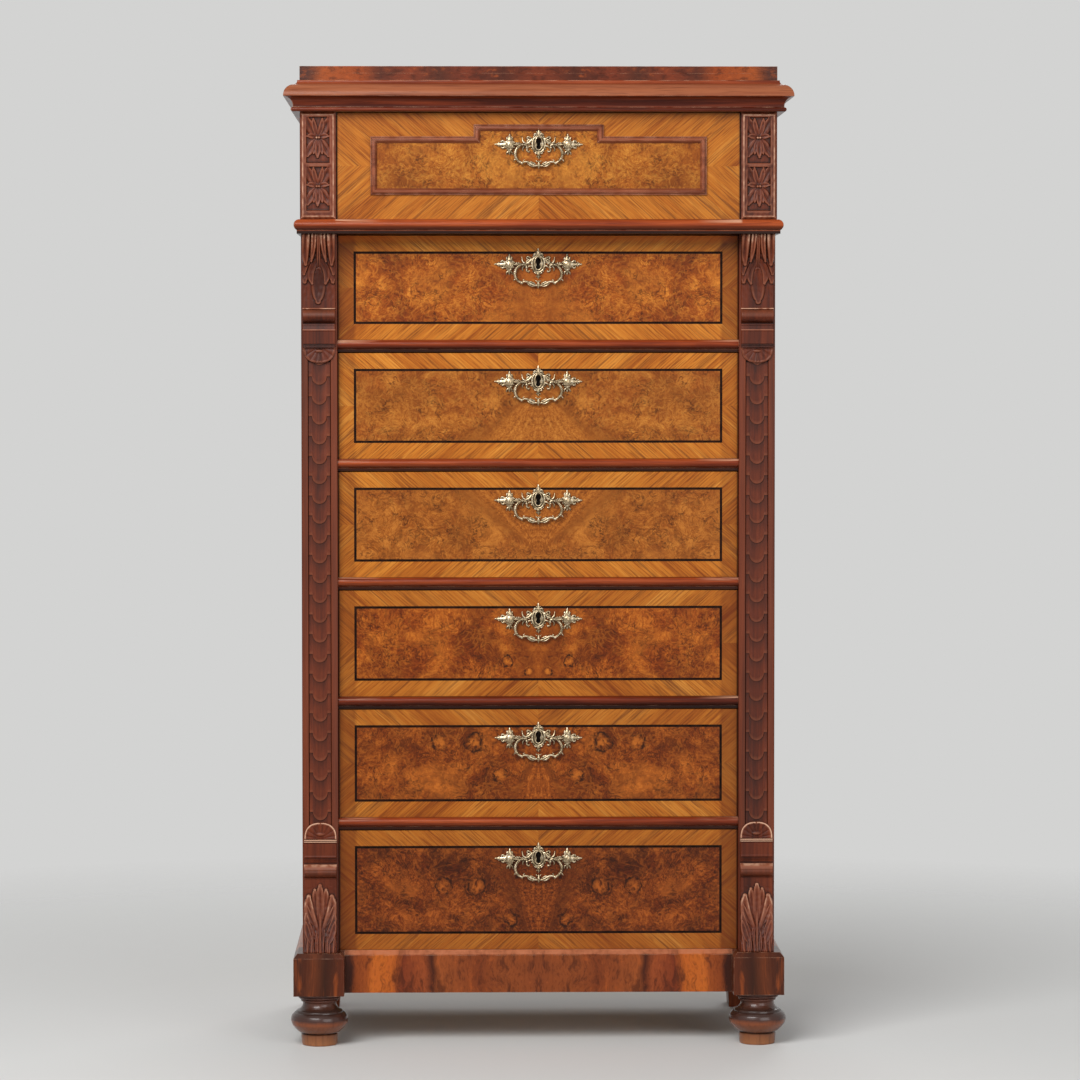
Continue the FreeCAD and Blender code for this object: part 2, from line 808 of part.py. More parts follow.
# ---------------------------------------------------------------- handles
def handle_plate(drawer):
    """Cast plate: escutcheon, bars, leaf wings, and a bored boss at each end of the bail."""
    z = drawer.keyhole
    crest_x = boss_x + 1.0
    crest_rise = 15.0
    tail_drop = 16.0
    flame_x = 23.7
    flame_rise = 10.4
    scroll_x = 15.0
    scroll_drop = 11.5
    bar_half = 3.0
    shoulder = escutcheon_half_width - 5.5

    def at(x, up):
        return Vector(x, drawer.face, z + up)

    half = [
        (shoulder, 11.5),
        (escutcheon_half_width, 7.0),
        (escutcheon_half_width + 1.5, bar_half),
        (flame_x, flame_rise),
        (flame_x + bar_half, bar_half),
        (boss_x - boss_radius, bar_half),
        (crest_x, crest_rise),
        (boss_x + boss_radius, boss_radius - 1),
        (plate_half_width, 0.0),
        (boss_x + boss_radius, -boss_radius),
        (crest_x, -tail_drop),
        (boss_x - boss_radius, -boss_radius),
        (flame_x, -bar_half),
        (scroll_x, -scroll_drop),
        (escutcheon_half_width - 1.5, -9.5),
        (shoulder, -14.0),
    ]
    right = outline(at, (0, finial_reach), half + [(0, -finial_reach)])
    plate = right.extrude(Vector(0, -plate_thickness, 0))
    boss_z = z - bail_pivot_drop
    boss = eight_sided(lambda out, up: Vector(boss_x + out, drawer.face, boss_z + up), boss_radius)
    boss = boss.extrude(Vector(0, -boss_height, 0))
    room = trunnion_radius + trunnion_clearance
    socket_end = bail_half_width + trunnion_engagement + joint_clearance
    pivot_y = drawer.face - bail_pivot_out
    bore = box(boss_x - boss_radius - overcut, socket_end, pivot_y - room, pivot_y + room,
               boss_z - room, boss_z + room)
    half_plate = plate.fuse(boss).cut(bore)
    whole = half_plate.fuse(mirrored(half_plate)).removeSplitter()
    return whole.cut(keyhole(drawer.face - plate_thickness, drawer.face, z))


def eight_sided(place, radius):
    """An octagon's face, with its corners at `radius` from the origin of `place`."""
    angles = [(i + 0.5) * pi / 4 for i in range(8)]
    points = [(radius * cos(angle), radius * sin(angle)) for angle in angles]
    return outline(place, points[0], points[1:])


def bail(drawer):
    """Swinging pull: two bowed arms, a bottom bar and a trunnion at each end."""
    pivot_z = drawer.keyhole - bail_pivot_drop
    front = drawer.face - bail_pivot_out - bail_thickness / 2
    bar = bail_bar

    def at(x, up):
        return Vector(x, front, pivot_z + up)

    outer = bail_half_width
    inner = outer - bar - 1.0
    crown = 1.6
    low = -bail_drop
    corner_x = outer - 14.0
    sag_x = outer - 26.0
    curl_x = inner - 12.0
    curl_z = -5.5
    steps = [
        (outer, curl_z),
        (outer - 1.5, 0.48 * low),
        (outer - 6.0, 0.76 * low),
        (corner_x, 0.93 * low),
        (sag_x, 0.9 * low),
        (0, low),
        (0, low + bar),
        (sag_x, 0.9 * low + bar),
        (corner_x - 1.0, 0.93 * low + bar),
        (inner - 3.5, 0.7 * low + bar),
        (inner, 0.42 * low),
        (inner, curl_z - 1.0),
        (inner - 5.0, curl_z + 0.5),
        (curl_x + 1.0, curl_z - 3.0),
        (curl_x, curl_z),
        (inner - 5.0, -1.0),
        (inner + 1.0, crown),
    ]
    right = outline(at, (outer, crown), steps)
    arm = right.extrude(Vector(0, bail_thickness, 0))
    pivot_y = drawer.face - bail_pivot_out
    pin = eight_sided(lambda out, up: Vector(outer - 1, pivot_y + out, pivot_z + up), trunnion_radius)
    arm = arm.fuse(pin.extrude(Vector(trunnion_engagement + 1, 0, 0)))
    return arm.fuse(mirrored(arm)).removeSplitter()


# ---------------------------------------------------------------- nodes
def carcase_nodes():
    """Every fixed sub-part, by name."""
    right_side = side_panel()
    right_pilaster = pilaster()
    return {
        "side_panel_right": [right_side],
        "side_panel_left": [mirrored(right_side)],
        "back_panel": back_panel(),
        "bottom_board": [bottom_board()],
        "top_board": [top_board()],
        "cornice_moulding": cornice_moulding(),
        "attic_box": attic_box(),
        "waist_moulding": waist_moulding(),
        "drawer_rails": drawer_rails(),
        "drawer_runners": drawer_runners(),
        "pilaster_right": [right_pilaster],
        "pilaster_left": [mirrored(right_pilaster)],
        "upper_consoles": pair(console(waist_z, -1, upper_console_height)),
        "lower_consoles": pair(console(plinth_top, 1, lower_console_height)),
        "frieze_blocks": pair(frieze_block()),
        "plinth_rails": plinth_rails(),
        "plinth_blocks": plinth_blocks(),
        "feet": feet(),
    }


def drawer_nodes(number):
    """Every sub-part of one drawer, by name."""
    drawer = Drawer(number)
    front = [drawer.front()]
    if number == 1:
        front += panel_moulding(drawer)
    return {
        f"drawer_{number}_front": front,
        f"drawer_{number}_box": drawer.box(),
        f"drawer_{number}_lock": [drawer.lock()],
        f"drawer_{number}_lock_bolt": [drawer.bolt()],
        f"drawer_{number}_handle_plate": [handle_plate(drawer)],
        f"drawer_{number}_bail": [bail(drawer)],
    }


def main():
    """Writes one STEP file per sub-part."""
    os.makedirs("parts", exist_ok=True)
    nodes = carcase_nodes()
    for number in levels:
        nodes.update(drawer_nodes(number))
    for name, solids in nodes.items():
        shape = Part.makeCompound(solids) if len(solids) > 1 else solids[0]
        shape.exportStep(f"parts/{name}.step")
        print(name, len(shape.Solids), shape.isValid())


main()
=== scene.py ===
from math import cos, pi, radians, sin

import bpy
import numpy as np
from mathutils import Matrix, Vector


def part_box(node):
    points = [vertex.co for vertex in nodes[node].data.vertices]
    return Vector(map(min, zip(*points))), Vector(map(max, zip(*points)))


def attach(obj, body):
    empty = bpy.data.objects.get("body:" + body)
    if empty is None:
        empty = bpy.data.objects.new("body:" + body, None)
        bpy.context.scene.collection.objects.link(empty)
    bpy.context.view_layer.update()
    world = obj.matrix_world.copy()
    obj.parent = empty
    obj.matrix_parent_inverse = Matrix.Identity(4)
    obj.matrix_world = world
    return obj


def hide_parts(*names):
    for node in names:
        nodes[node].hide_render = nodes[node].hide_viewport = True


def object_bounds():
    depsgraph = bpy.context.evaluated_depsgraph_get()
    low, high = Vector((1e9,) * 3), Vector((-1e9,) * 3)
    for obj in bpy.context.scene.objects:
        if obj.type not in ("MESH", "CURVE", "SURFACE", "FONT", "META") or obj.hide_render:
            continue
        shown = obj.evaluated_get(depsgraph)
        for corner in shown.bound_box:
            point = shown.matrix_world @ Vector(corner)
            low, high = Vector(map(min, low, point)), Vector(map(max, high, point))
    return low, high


# A semainier: seven drawers between carved pilasters. Metres, in the frame's own axes: +Z up,
# +X to the right of someone facing the drawers, and the drawers open towards -Y. Carving and
# castings are drawn in millimetres and scaled when their meshes are made. Colours are written
# as they look on a screen, 0 to 255.

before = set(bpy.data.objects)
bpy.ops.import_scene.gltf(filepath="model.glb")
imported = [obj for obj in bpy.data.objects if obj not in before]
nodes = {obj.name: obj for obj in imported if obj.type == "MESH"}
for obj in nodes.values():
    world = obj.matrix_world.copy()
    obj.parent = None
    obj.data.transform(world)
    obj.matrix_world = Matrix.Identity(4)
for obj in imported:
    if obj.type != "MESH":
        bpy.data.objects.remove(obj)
cad_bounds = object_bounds()
mm = 0.001
drawer_numbers = range(1, 8)

# ---------------------------------------------------------------- places taken from the frame
pilaster_low, pilaster_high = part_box("pilaster_right")
frieze_low, frieze_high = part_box("frieze_blocks")
cornice_low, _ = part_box("cornice_moulding")
block_low, block_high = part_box("plinth_blocks")
pilaster_y = pilaster_low.y
opening_half = pilaster_low.x
post_middle = (pilaster_low.x + pilaster_high.x) / 2
post_half = (pilaster_high.x - pilaster_low.x) / 2 / mm
plinth_top = pilaster_low.z
waist_z = pilaster_high.z
back_y = cad_bounds[1][1]
overall_height = cad_bounds[1][2]
drawer_half = opening_half - 0.8 * mm


# ---------------------------------------------------------------- materials
def linear(colour):
    """A shader's colour from one as it looks on a screen."""
    channels = [value / 255 for value in colour]
    return tuple(c / 12.92 if c <= 0.04045 else ((c + 0.055) / 1.055) ** 2.4 for c in channels) + (1.0,)


def reckon(operation, swapped=False):
    """A method of Number that makes a Math or Vector Math node."""
    def method(self, other):
        first, second = (other, self) if swapped else (self, other)
        return self.finish.compute(operation, first, second)
    return method


class Number:
    """A value or vector inside a shader, which sums and products can be written with."""

    def __init__(self, finish, socket):
        self.finish = finish
        self.socket = socket

    __add__ = __radd__ = reckon("ADD")
    __mul__ = __rmul__ = reckon("MULTIPLY")
    __sub__ = reckon("SUBTRACT")
    __rsub__ = reckon("SUBTRACT", swapped=True)
    __truediv__ = reckon("DIVIDE")

    def __abs__(self):
        return self.finish.compute("ABSOLUTE", self)


def paint(colour):
    """What a colour socket takes, from a Number, a grey between 0 and 1, or a colour."""
    if isinstance(colour, Number):
        return colour
    if isinstance(colour, float):
        return (colour,) * 3 + (1.0,)
    return linear(colour)


class Finish:
    """A procedural material while its nodes are put together. Its colour is laid on in coats."""

    def __init__(self, name, **sockets):
        self.material = bpy.data.materials.new(name)
        self.material.use_nodes = True
        self.tree = self.material.node_tree
        self.shader = self.tree.nodes["Principled BSDF"]
        self.colour = None
        self.place = self.output("TexCoord", "Object")
        self.x, self.y, self.z = self.parts(self.place)
        for key, value in sockets.items():
            self.shader.inputs[key.replace("_", " ")].default_value = value

    def add(self, kind, inputs=(), **settings):
        node = self.tree.nodes.new("ShaderNode" + kind)
        for key, value in settings.items():
            setattr(node, key, value)
        for key, value in dict(inputs).items():
            if isinstance(value, Number):
                self.tree.links.new(value.socket, node.inputs[key])
            else:
                node.inputs[key].default_value = value
        return node

    def output(self, kind, socket, inputs=(), **settings):
        return Number(self, self.add(kind, inputs, **settings).outputs[socket])

    def set(self, socket, value):
        self.tree.links.new(value.socket, self.shader.inputs[socket])

    def compute(self, operation, a, b=0.0):
        is_vector = any(isinstance(v, tuple) or getattr(getattr(v, "socket", None), "type", "") == "VECTOR"
                        for v in (a, b))
        return self.output("VectorMath" if is_vector else "Math", 0, {0: a, 1: b}, operation=operation)

    def parts(self, vector):
        node = self.add("SeparateXYZ", {0: vector})
        return [Number(self, socket) for socket in node.outputs]

    def join(self, x, y, z=0.0):
        return self.output("CombineXYZ", 0, {0: x, 1: y, 2: z})

    def length(self, vector):
        return self.output("VectorMath", "Value", {0: vector}, operation="LENGTH")

    def larger(self, a, b):
        return self.compute("MAXIMUM", a, b)

    def noise(self, vector, scale, detail=2.0, rough=0.5):
        return self.output("TexNoise", 0, {"Vector": vector, "Scale": scale, "Detail": detail,
                                           "Roughness": rough})

    def wander(self, vector, scale, reach):
        """The vector, moved about by noise, up to `reach` each way."""
        shift = self.output("TexNoise", 1, {"Vector": vector, "Scale": scale, "Detail": 2.0})
        return vector + (shift - (0.5,) * 3) * ((2 * reach,) * 3)

    def between(self, value, low, high):
        """0 at low, 1 at high, and a straight run from one to the other."""
        return self.output("MapRange", 0, {0: value, 1: low, 2: high, 3: 0.0, 4: 1.0}, clamp=True)

    def within(self, value, low, high, soft):
        """1 from low to high, and a soft run down to 0 inside each end."""
        return self.between(value, low, low + soft) * self.between(value, high, high - soft)

    def hollows(self, open_at, closed_at):
        """0 on open ground, 1 in corners and pits."""
        shut = self.output("AmbientOcclusion", "AO", {"Distance": 3.0 * mm}, samples=8)
        return self.between(shut, open_at, closed_at)

    def ramp(self, value, stops):
        """The colours of the stops, (place, colour), and straight runs between them."""
        node = self.add("ValToRGB", {0: value})
        elements = node.color_ramp.elements
        first, *middle, last = [(place, paint(colour)) for place, colour in stops]
        elements[0].position, elements[0].color = first
        elements[1].position, elements[1].color = last
        for place, colour in middle:
            elements.new(place).color = colour
        return Number(self, node.outputs[0])

    def coat(self, amount, colour):
        """Lays a colour over what is there."""
        inputs = {0: amount, 6: self.colour, 7: paint(colour)}
        self.colour = self.output("Mix", 2, inputs, data_type="RGBA")

    def rub(self, radius, rubbed_and_lit):
        """Rubs sharp edges bare here and there, and gives the rounded normal."""
        soft = self.output("Bevel", 0, {0: radius}, samples=4)
        flat = self.output("NewGeometry", "True Normal")
        meet = self.output("VectorMath", "Value", {0: soft, 1: flat}, operation="DOT_PRODUCT")
        bare = self.between(meet, 0.99, 0.88) * self.between(self.noise(self.place, 60.0, 3.0), 0.40, 0.60)
        self.coat(bare * 0.7, rubbed_and_lit)
        return soft

    def done(self, height, depth, normal=None):
        """Sets the colour and a bump of `depth` metres, and gives the material."""
        self.set("Base Color", self.colour)
        inputs = {"Height": height, "Strength": 1.0, "Distance": depth}
        if normal is not None:
            inputs["Normal"] = normal
        self.set("Normal", self.output("Bump", 0, inputs))
        return self.material


# how a grain's noise is stretched along an axis, and the sheens
ALONG = {"x": (0.03, 1.0, 1.0), "z": (1.0, 1.0, 0.03)}
POLISHED = {"Roughness": 0.30, "Specular_IOR_Level": 0.14, "Coat_Weight": 0.04, "Coat_Roughness": 0.12}
DULL = {"Roughness": 0.46, "Specular_IOR_Level": 0.2}
BARE = {"Roughness": 0.72, "Specular_IOR_Level": 0.15}

# dark, middle and light shade of each wood
RED_WALNUT = (64, 22, 11), (108, 44, 22), (146, 68, 36)
MOULDING_WALNUT = (70, 23, 9), (118, 45, 19), (158, 72, 33)
STAINED_WALNUT = (62, 25, 14), (102, 48, 27), (136, 72, 44)
SIDE_WALNUT = (84, 38, 19), (110, 53, 28), (132, 67, 36)
PINE = (150, 104, 60), (188, 144, 94), (208, 170, 122)
OLD_PINE = (130, 92, 56), (168, 128, 84), (192, 154, 108)
FRONT_CORE = (140, 88, 48), (170, 116, 68), (190, 140, 90)
rubbed_wood = (204, 158, 128)
rubbed_pine = (214, 186, 150)
# near black of the painted shadow under the rails and the waist
shadow_black = (22, 9, 5)


def wood(name, shades, grain, gloss, rubbed_and_lit=rubbed_wood, edge=1.2 * mm, figure=150.0, pale=None,
         underside_shade=None, ledges=(), pitch=None, corner_shade=None):
    """Wood with its grain along one axis (or as the boards of a drawer's box need it), and with
    edges rubbed lighter.
    pale: (low, high, colour) of a stretch of height painted lighter, a painted highlight where the moulding
    faces the light
    underside_shade: how much the faces that turn downwards are darkened, a painted shade; on such a moulding,
    faces that turn upwards near the posts are also painted paler in streaks
    ledges: (height, reach, amount) of lower edges that are painted near black, a painted shadow
    pitch: width of upright boards laid edge to edge, each with a grain of its own
    corner_shade: how much painted shade stands in the corners where a moulding meets its ground"""
    f = Finish(name, **gloss)
    dark = shades[0]
    if grain == "box":
        on_side = f.between(abs(f.x), drawer_half - 15 * mm, drawer_half - 14 * mm)
        stretch = f.join(0.97 * on_side + 0.03, 1.0 - 0.97 * on_side, 1.0)
    else:
        stretch = ALONG[grain]
    along = f.wander(f.place, 6.0, 4 * mm) * stretch
    if pitch is not None:
        spot = f.x / pitch + 0.5
        board = f.compute("FLOOR", spot)
        along = along + f.join(0.7 * board, 0.0, 0.31 * board)
    broad = f.noise(along, 22.0)
    streaks = f.noise(along, figure, 4.0, 0.65)
    pores = f.noise(along, 900.0, 1.0)
    f.colour = f.ramp(0.5 * broad + 0.5 * streaks, zip((0.38, 0.5, 0.63), shades))
    # painted highlight over the given stretch of height
    if pale is not None:
        low, high, highlight_colour = pale
        f.coat(f.within(f.z, low, high, 0.8 * mm) * f.between(streaks, 0.15, 0.6), highlight_colour)
    f.coat(f.between(pores, 0.56, 0.7) * 0.4, dark)
    # painted shade on faces that turn downwards
    if underside_shade is not None:
        upward = f.parts(f.output("NewGeometry", "Normal"))[2]
        f.coat(f.between(upward, 0.05, -0.75) * underside_shade, (40, 14, 9))
        # faces that turn upwards near the posts, painted paler in streaks
        near_post = f.between(abs(f.x), 0.225, 0.28) * f.between(abs(f.x), 0.29, 0.287)
        pale_streaks = near_post * f.between(upward, 0.25, 0.5) * f.between(streaks, 0.46, 0.56)
        f.coat(pale_streaks * 0.7, rubbed_and_lit)
    soft = f.rub(edge, rubbed_and_lit)
    # painted shade in corners and pits, from ambient occlusion
    if corner_shade is not None:
        f.coat(f.hollows(0.78, 0.55) * corner_shade, (46, 18, 9))
    if pitch is not None:
        joint = abs(spot - board - 0.5)
        f.coat(f.between(joint, 0.5 - 1.4 * mm / pitch, 0.5 - 0.6 * mm / pitch) * 0.9, (40, 26, 16))
    # painted shadow along lower edges
    for ledge, reach, amount in ledges:
        f.coat(f.within(f.z, ledge - 1.5 * mm, ledge + reach, 1.0 * mm) * amount, shadow_black)
    return f.done(streaks - 0.5 * pores, 0.1 * mm, soft)


# (share of the whole height, how much darker) of the crossbanding, and of its upright strips: painted shade
# over the top drawer and under the cornice, painted shade with soiling beside the posts, and darker towards
# the bottom
BAND_SHADE = [(0.11, 0.42), (0.21, 0.36), (0.24, 0.20), (0.333, 0.30), (0.364, 0.20), (0.455, 0.24),
              (0.486, 0.04), (0.578, 0.08), (0.62, 0.0), (0.83, 0.0), (0.86, 0.16), (0.93, 0.16),
              (0.95, 0.36)]
STILE_SHADE = [(0.10, 0.60), (0.20, 0.55), (0.26, 0.50), (0.34, 0.50), (0.38, 0.34), (0.54, 0.36),
               (0.62, 0.22), (0.70, 0.26), (0.73, 0.52), (0.83, 0.56), (0.86, 0.1)]


def crossband():
    """Crossbanding: straight-grained golden walnut, whose grain slants the same way in the
    mirrored coordinates that each strip carries as its UV map."""
    f = Finish("crossband_walnut", **POLISHED)
    u, v, _ = f.parts(f.output("UVMap", 0))
    across = 0.66 * u - 0.75 * v
    along = 0.75 * u + 0.66 * v
    grain = f.wander(f.join(across, 0.02 * along), 7.0, 3.5 * mm)
    broad = f.noise(grain, 20.0)
    stripes = f.noise(grain, 110.0, 3.0, 0.6)
    lines = f.noise(grain, 430.0, 4.0, 0.8)
    pores = f.noise(f.join(across, 0.035 * along), 700.0, 1.0)
    f.colour = f.ramp(0.34 * broad + 0.26 * stripes + 0.40 * lines,
                      [(0.38, (126, 60, 17)), (0.46, (172, 97, 30)), (0.54, (192, 118, 41)),
                       (0.64, (214, 148, 66))])
    f.coat(f.between(stripes, 0.55, 0.62) * f.between(lines, 0.42, 0.54) * 0.75, (100, 44, 14))
    f.coat(f.between(pores, 0.54, 0.60) * 0.5, (98, 44, 14))
    # painted shade over the top drawer, and darker towards the bottom
    f.coat(f.ramp(f.z / overall_height, BAND_SHADE), (96, 42, 16))
    # painted shade, with soiling, on the upright strips beside the posts
    stile = f.between(abs(f.x), drawer_half - 27 * mm, drawer_half - 22 * mm)
    f.coat(stile * f.ramp(f.z / overall_height, STILE_SHADE), (92, 38, 13))
    # painted light: the shadow under the waist is tinted a warm orange
    under_waist = (f.between(f.z, waist_z - 14 * mm, waist_z - 6 * mm)
                   * f.between(f.z, waist_z + 1 * mm, waist_z))
    f.coat(under_waist * 0.45, (216, 98, 28))
    # painted shadow along the outer edges beside the posts
    edge = f.between(abs(f.x), drawer_half - 2.4 * mm, drawer_half - 0.4 * mm)
    f.coat(edge * 0.85, (38, 18, 10))
    return f.done(lines - pores, 0.06 * mm)


def burl(number, shades, red, knots, fan, lines, spots):
    """Burl of one drawer's field. Its UV map is in metres, out from the centre joint and up from
    the keyhole. Its veins are level lines of a hilly field, and a knot, (out, up, radius), is a hill
    of its own. fan is (apex, way, spread) of the straight grain at the middle: its lines spread
    from the apex height upwards (1) or downwards (-1), as far as that angle. spots is how strong
    the red patches and the birds' eyes are."""
    f = Finish(f"burl_drawer_{number}", **POLISHED)
    dark, _, light = shades
    black = (40, 18, 8)
    seed = 3.7 * number
    seeded = f.output("UVMap", 0) + (0.0, 0.0, seed)
    moved = f.wander(f.wander(seeded, 18.0, 14 * mm), 80.0, 5 * mm)
    fine = f.wander(moved, 350.0, 1.2 * mm)
    hills = f.noise(moved, 17.0, 1.0)
    hearts = rims = near = f.between(hills, 2.0, 3.0)    # nothing yet: hills stay under 1
    for out, up, radius in knots:
        offset = f.wander(f.wander(seeded, 70.0, 6 * mm), 280.0, 2.2 * mm) - (out, up, seed)
        ratio = f.length(offset) / radius
        rims = f.larger(rims, f.between(ratio, 0.75, 0.95) * f.between(ratio, 1.2, 1.0))
        hearts = f.larger(hearts, f.between(ratio, 1.0, 0.3))
        near = f.larger(near, f.between(ratio, 2.6, 1.1))
        hills = hills + 0.16 * f.between(ratio, 3.0, 0.4)
    waves = f.compute("SINE", hills * (2 * pi * lines))
    clouds = f.noise(moved, 45.0, 5.0, 0.65)
    mottle = f.noise(fine, 250.0, 4.0, 0.85)
    swirls = f.noise(f.join(hills * 1.4, 0.0, seed), 60.0, 4.0, 0.75)
    f.colour = f.ramp(0.32 * clouds + 0.38 * mottle + 0.30 * swirls, zip((0.41, 0.5, 0.59), shades))
    broad = f.noise(f.wander(seeded, 9.0, 30 * mm), 13.0, 3.0, 0.55)
    f.coat(f.between(broad, 0.50, 0.36) * 0.5, dark)
    f.coat(f.between(broad, 0.52, 0.66) * 0.4, light)
    wild = f.between(f.noise(seeded, 30.0, 3.0, 0.6), 0.42, 0.58)
    dusk = f.between(f.noise(moved + (0.0, 0.0, 2.1), 26.0, 4.0, 0.6), 0.50, 0.66)
    f.coat(dusk * spots * 0.55, dark)
    veins = f.between(waves, 0.72, 0.98) * f.between(f.noise(fine, 90.0), 0.40, 0.52)
    f.coat(veins * f.larger(wild, near) * 0.6, dark)
    groups = f.between(f.noise(seeded + (0.0, 0.0, 1.3), 24.0, 4.0, 0.65), 0.5, 0.6)
    f.coat(groups * spots * 0.5, red)
    thread = f.between(abs(f.noise(fine, 75.0, 3.0, 0.6) - 0.5), 0.032, 0.012)
    f.coat(thread * f.larger(wild, near) * 0.6, black)
    glow = f.between(abs(f.noise(moved + (0.0, 0.0, 4.4), 34.0, 3.0, 0.6) - 0.5), 0.03, 0.0)
    f.coat(glow * 0.3, light)
    eyes = f.output("TexVoronoi", "Distance", {"Vector": fine, "Scale": 230.0})
    rings = f.between(eyes, 0.16, 0.3) * f.between(eyes, 0.5, 0.36)
    dotted = f.larger(groups, 0.7 * near) * spots
    f.coat(dotted * rings * 0.7, dark)
    f.coat(dotted * f.between(eyes, 0.22, 0.06), black)
    if fan is not None:
        apex, way, spread = fan
        out, up, _ = f.parts(f.wander(seeded, 40.0, 3 * mm))
        angle = f.compute("ARCTAN2", out, (up - apex) * way)
        rays = f.noise(f.join(angle, 1.2 * f.length(f.join(out, up)), seed), 18.0, 4.0, 0.75)
        inside = f.between(angle, spread + 0.12, spread - 0.12)
        f.coat(inside * 0.78, f.ramp(0.35 * rays + 0.65 * mottle, zip((0.38, 0.5, 0.62), shades)))
        edge = f.between(angle, spread - 0.16, spread) * f.between(angle, spread + 0.2, spread)
        f.coat(edge * f.between(mottle, 0.40, 0.55) * 0.5, dark)
    f.coat(hearts * f.between(f.noise(fine, 160.0), 0.40, 0.56) * 0.8, light)
    f.coat(rims * f.between(f.noise(fine, 90.0), 0.44, 0.54), black)
    return f.done(mottle + 0.2 * waves, 0.03 * mm)


def stringing():
    f = Finish("black_stringing", Roughness=0.5, Specular_IOR_Level=0.05)
    patches = f.noise(f.place, 90.0, 3.0)
    f.colour = f.ramp(patches, [(0.35, (16, 8, 5)), (0.7, (40, 22, 14))])
    return f.done(patches, 0.04 * mm)


def figured(name, reach, stops, upright=0.12, pale_above=9.0):
    """Figured veneer: from the centre line out to `reach` it takes the colours of the stops in
    turn, and stripes follow them. They stand on end where upright is small. Above a given height the wood
    is painted paler, partly rubbed and partly a painted highlight, and the bare pine of a back rail shows
    behind."""
    f = Finish(name, **POLISHED)
    folded = f.join(abs(f.x), f.y, 3 * upright * f.z)
    moved = f.wander(f.wander(folded, 14.0, 14 * mm), 60.0, 4 * mm)
    f.colour = f.ramp(f.parts(moved)[0] / reach, stops)
    drawn_out = moved * (1.0, 1.0, upright)
    stripes = f.noise(drawn_out, 70.0, 5.0, 0.7)
    fine = f.noise(drawn_out, 420.0, 3.0)
    f.coat(f.between(stripes, 0.51, 0.64) * 0.7, (62, 26, 14))
    f.coat(f.between(stripes, 0.44, 0.32) * 0.4, (172, 84, 36))
    f.coat(f.between(fine, 0.5, 0.7) * 0.4, (56, 24, 12))
    # painted paler above the given height: rubbing and a painted highlight on the plinth's top
    f.coat(f.between(f.z, pale_above, pale_above + 1.0 * mm) * f.between(stripes, 0.78, 0.36), (172, 104, 72))
    soft = f.rub(1.2 * mm, rubbed_wood)
    _, backward, upward = f.parts(f.output("NewGeometry", "Normal"))
    f.coat(f.between(upward, 0.8, 0.95) * f.between(f.z, plinth_top, frieze_low.z) * 0.55, (104, 50, 28))
    behind = f.between(f.y, back_y - 12.5 * mm, back_y - 12.0 * mm) * f.between(backward, 0.4, 0.6)
    pine_grain = f.noise(f.wander(f.place, 6.0, 4 * mm) * ALONG["x"], 70.0, 4.0, 0.65)
    f.coat(behind, f.ramp(pine_grain, [(0.36, OLD_PINE[0]), (0.64, OLD_PINE[2])]))
    return f.done(fine, 0.05 * mm, soft)


def carved():
    """Stained carving. Each vertex carries `ridge`: 0 in the hollows, which get painted shade, 0.5 on plain
    ground, 1 on sharp edges, which are painted lighter, partly rubbed bare and partly a painted highlight."""
    f = Finish("carved_walnut", **DULL)
    along = f.wander(f.place, 8.0, 3 * mm) * ALONG["z"]
    streaks = f.noise(along, 260.0, 3.0, 0.6)
    f.colour = f.ramp(0.6 * f.noise(along, 40.0, 3.0) + 0.4 * streaks,
                      [(0.36, (54, 18, 6)), (0.5, (85, 33, 13)), (0.66, (110, 48, 23))])
    ridge = f.output("Attribute", "Fac", attribute_name="ridge")
    # painted shade in the hollows
    f.coat(f.between(ridge, 0.46, 0.12) * 0.8, (34, 12, 6))
    # painted highlight, with rubbing, on raised edges
    f.coat(f.between(ridge, 0.53, 0.80) * 0.7, (146, 88, 64))
    chips = f.larger(f.between(f.noise(f.place, 90.0, 3.0), 0.42, 0.58), f.between(ridge, 0.94, 0.99))
    f.coat(f.between(ridge, 0.78, 0.96) * chips * 0.9, (206, 162, 134))
    return f.done(streaks, 0.15 * mm)


def brass():
    """Cast brass, silvery with age, dark in its hollows."""
    f = Finish("aged_brass", Metallic=0.85, Roughness=0.30)
    f.colour = f.ramp(f.noise(f.place, 220.0, 3.0, 0.7),
                      [(0.36, (116, 98, 72)), (0.5, (168, 148, 116)), (0.66, (214, 198, 170))])
    f.coat(f.hollows(0.86, 0.50), (44, 32, 18))
    return f.done(f.noise(f.place, 700.0), 0.2 * mm)


def iron():
    f = Finish("lock_iron", Metallic=0.6, Roughness=0.5)
    f.colour = f.ramp(f.noise(f.place, 60.0, 4.0), [(0.35, (48, 42, 36)), (0.65, (98, 90, 80))])
    soft = f.rub(0.6 * mm, (160, 152, 140))
    return f.done(f.noise(f.place, 500.0), 0.05 * mm, soft)


def turned_wood():
    """Turned feet: dark over the bun's top, worn to orange below, medium brown at the base."""
    f = Finish("turned_walnut", Roughness=0.26, Specular_IOR_Level=0.35, Coat_Weight=0.15)
    height = f.z + 5 * mm * (f.noise(f.place, 40.0, 3.0) - 0.5)
    f.colour = f.ramp(height / (80 * mm), [
        (0.02, (142, 90, 54)), (0.18, (120, 70, 40)), (0.22, (36, 20, 14)), (0.26, (112, 64, 38)),
        (0.41, (126, 66, 36)), (0.47, (64, 36, 28)), (0.62, (50, 33, 27)), (0.78, (90, 48, 32)),
        (0.9, (74, 40, 30))])
    streaks = f.noise(f.place * ALONG["z"], 260.0, 3.0, 0.6)
    f.coat(f.between(streaks, 0.5, 0.7) * 0.3, (46, 20, 12))
    return f.done(streaks, 0.05 * mm)


openings = [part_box(f"drawer_{number}_front")[1].z for number in drawer_numbers[1:]]
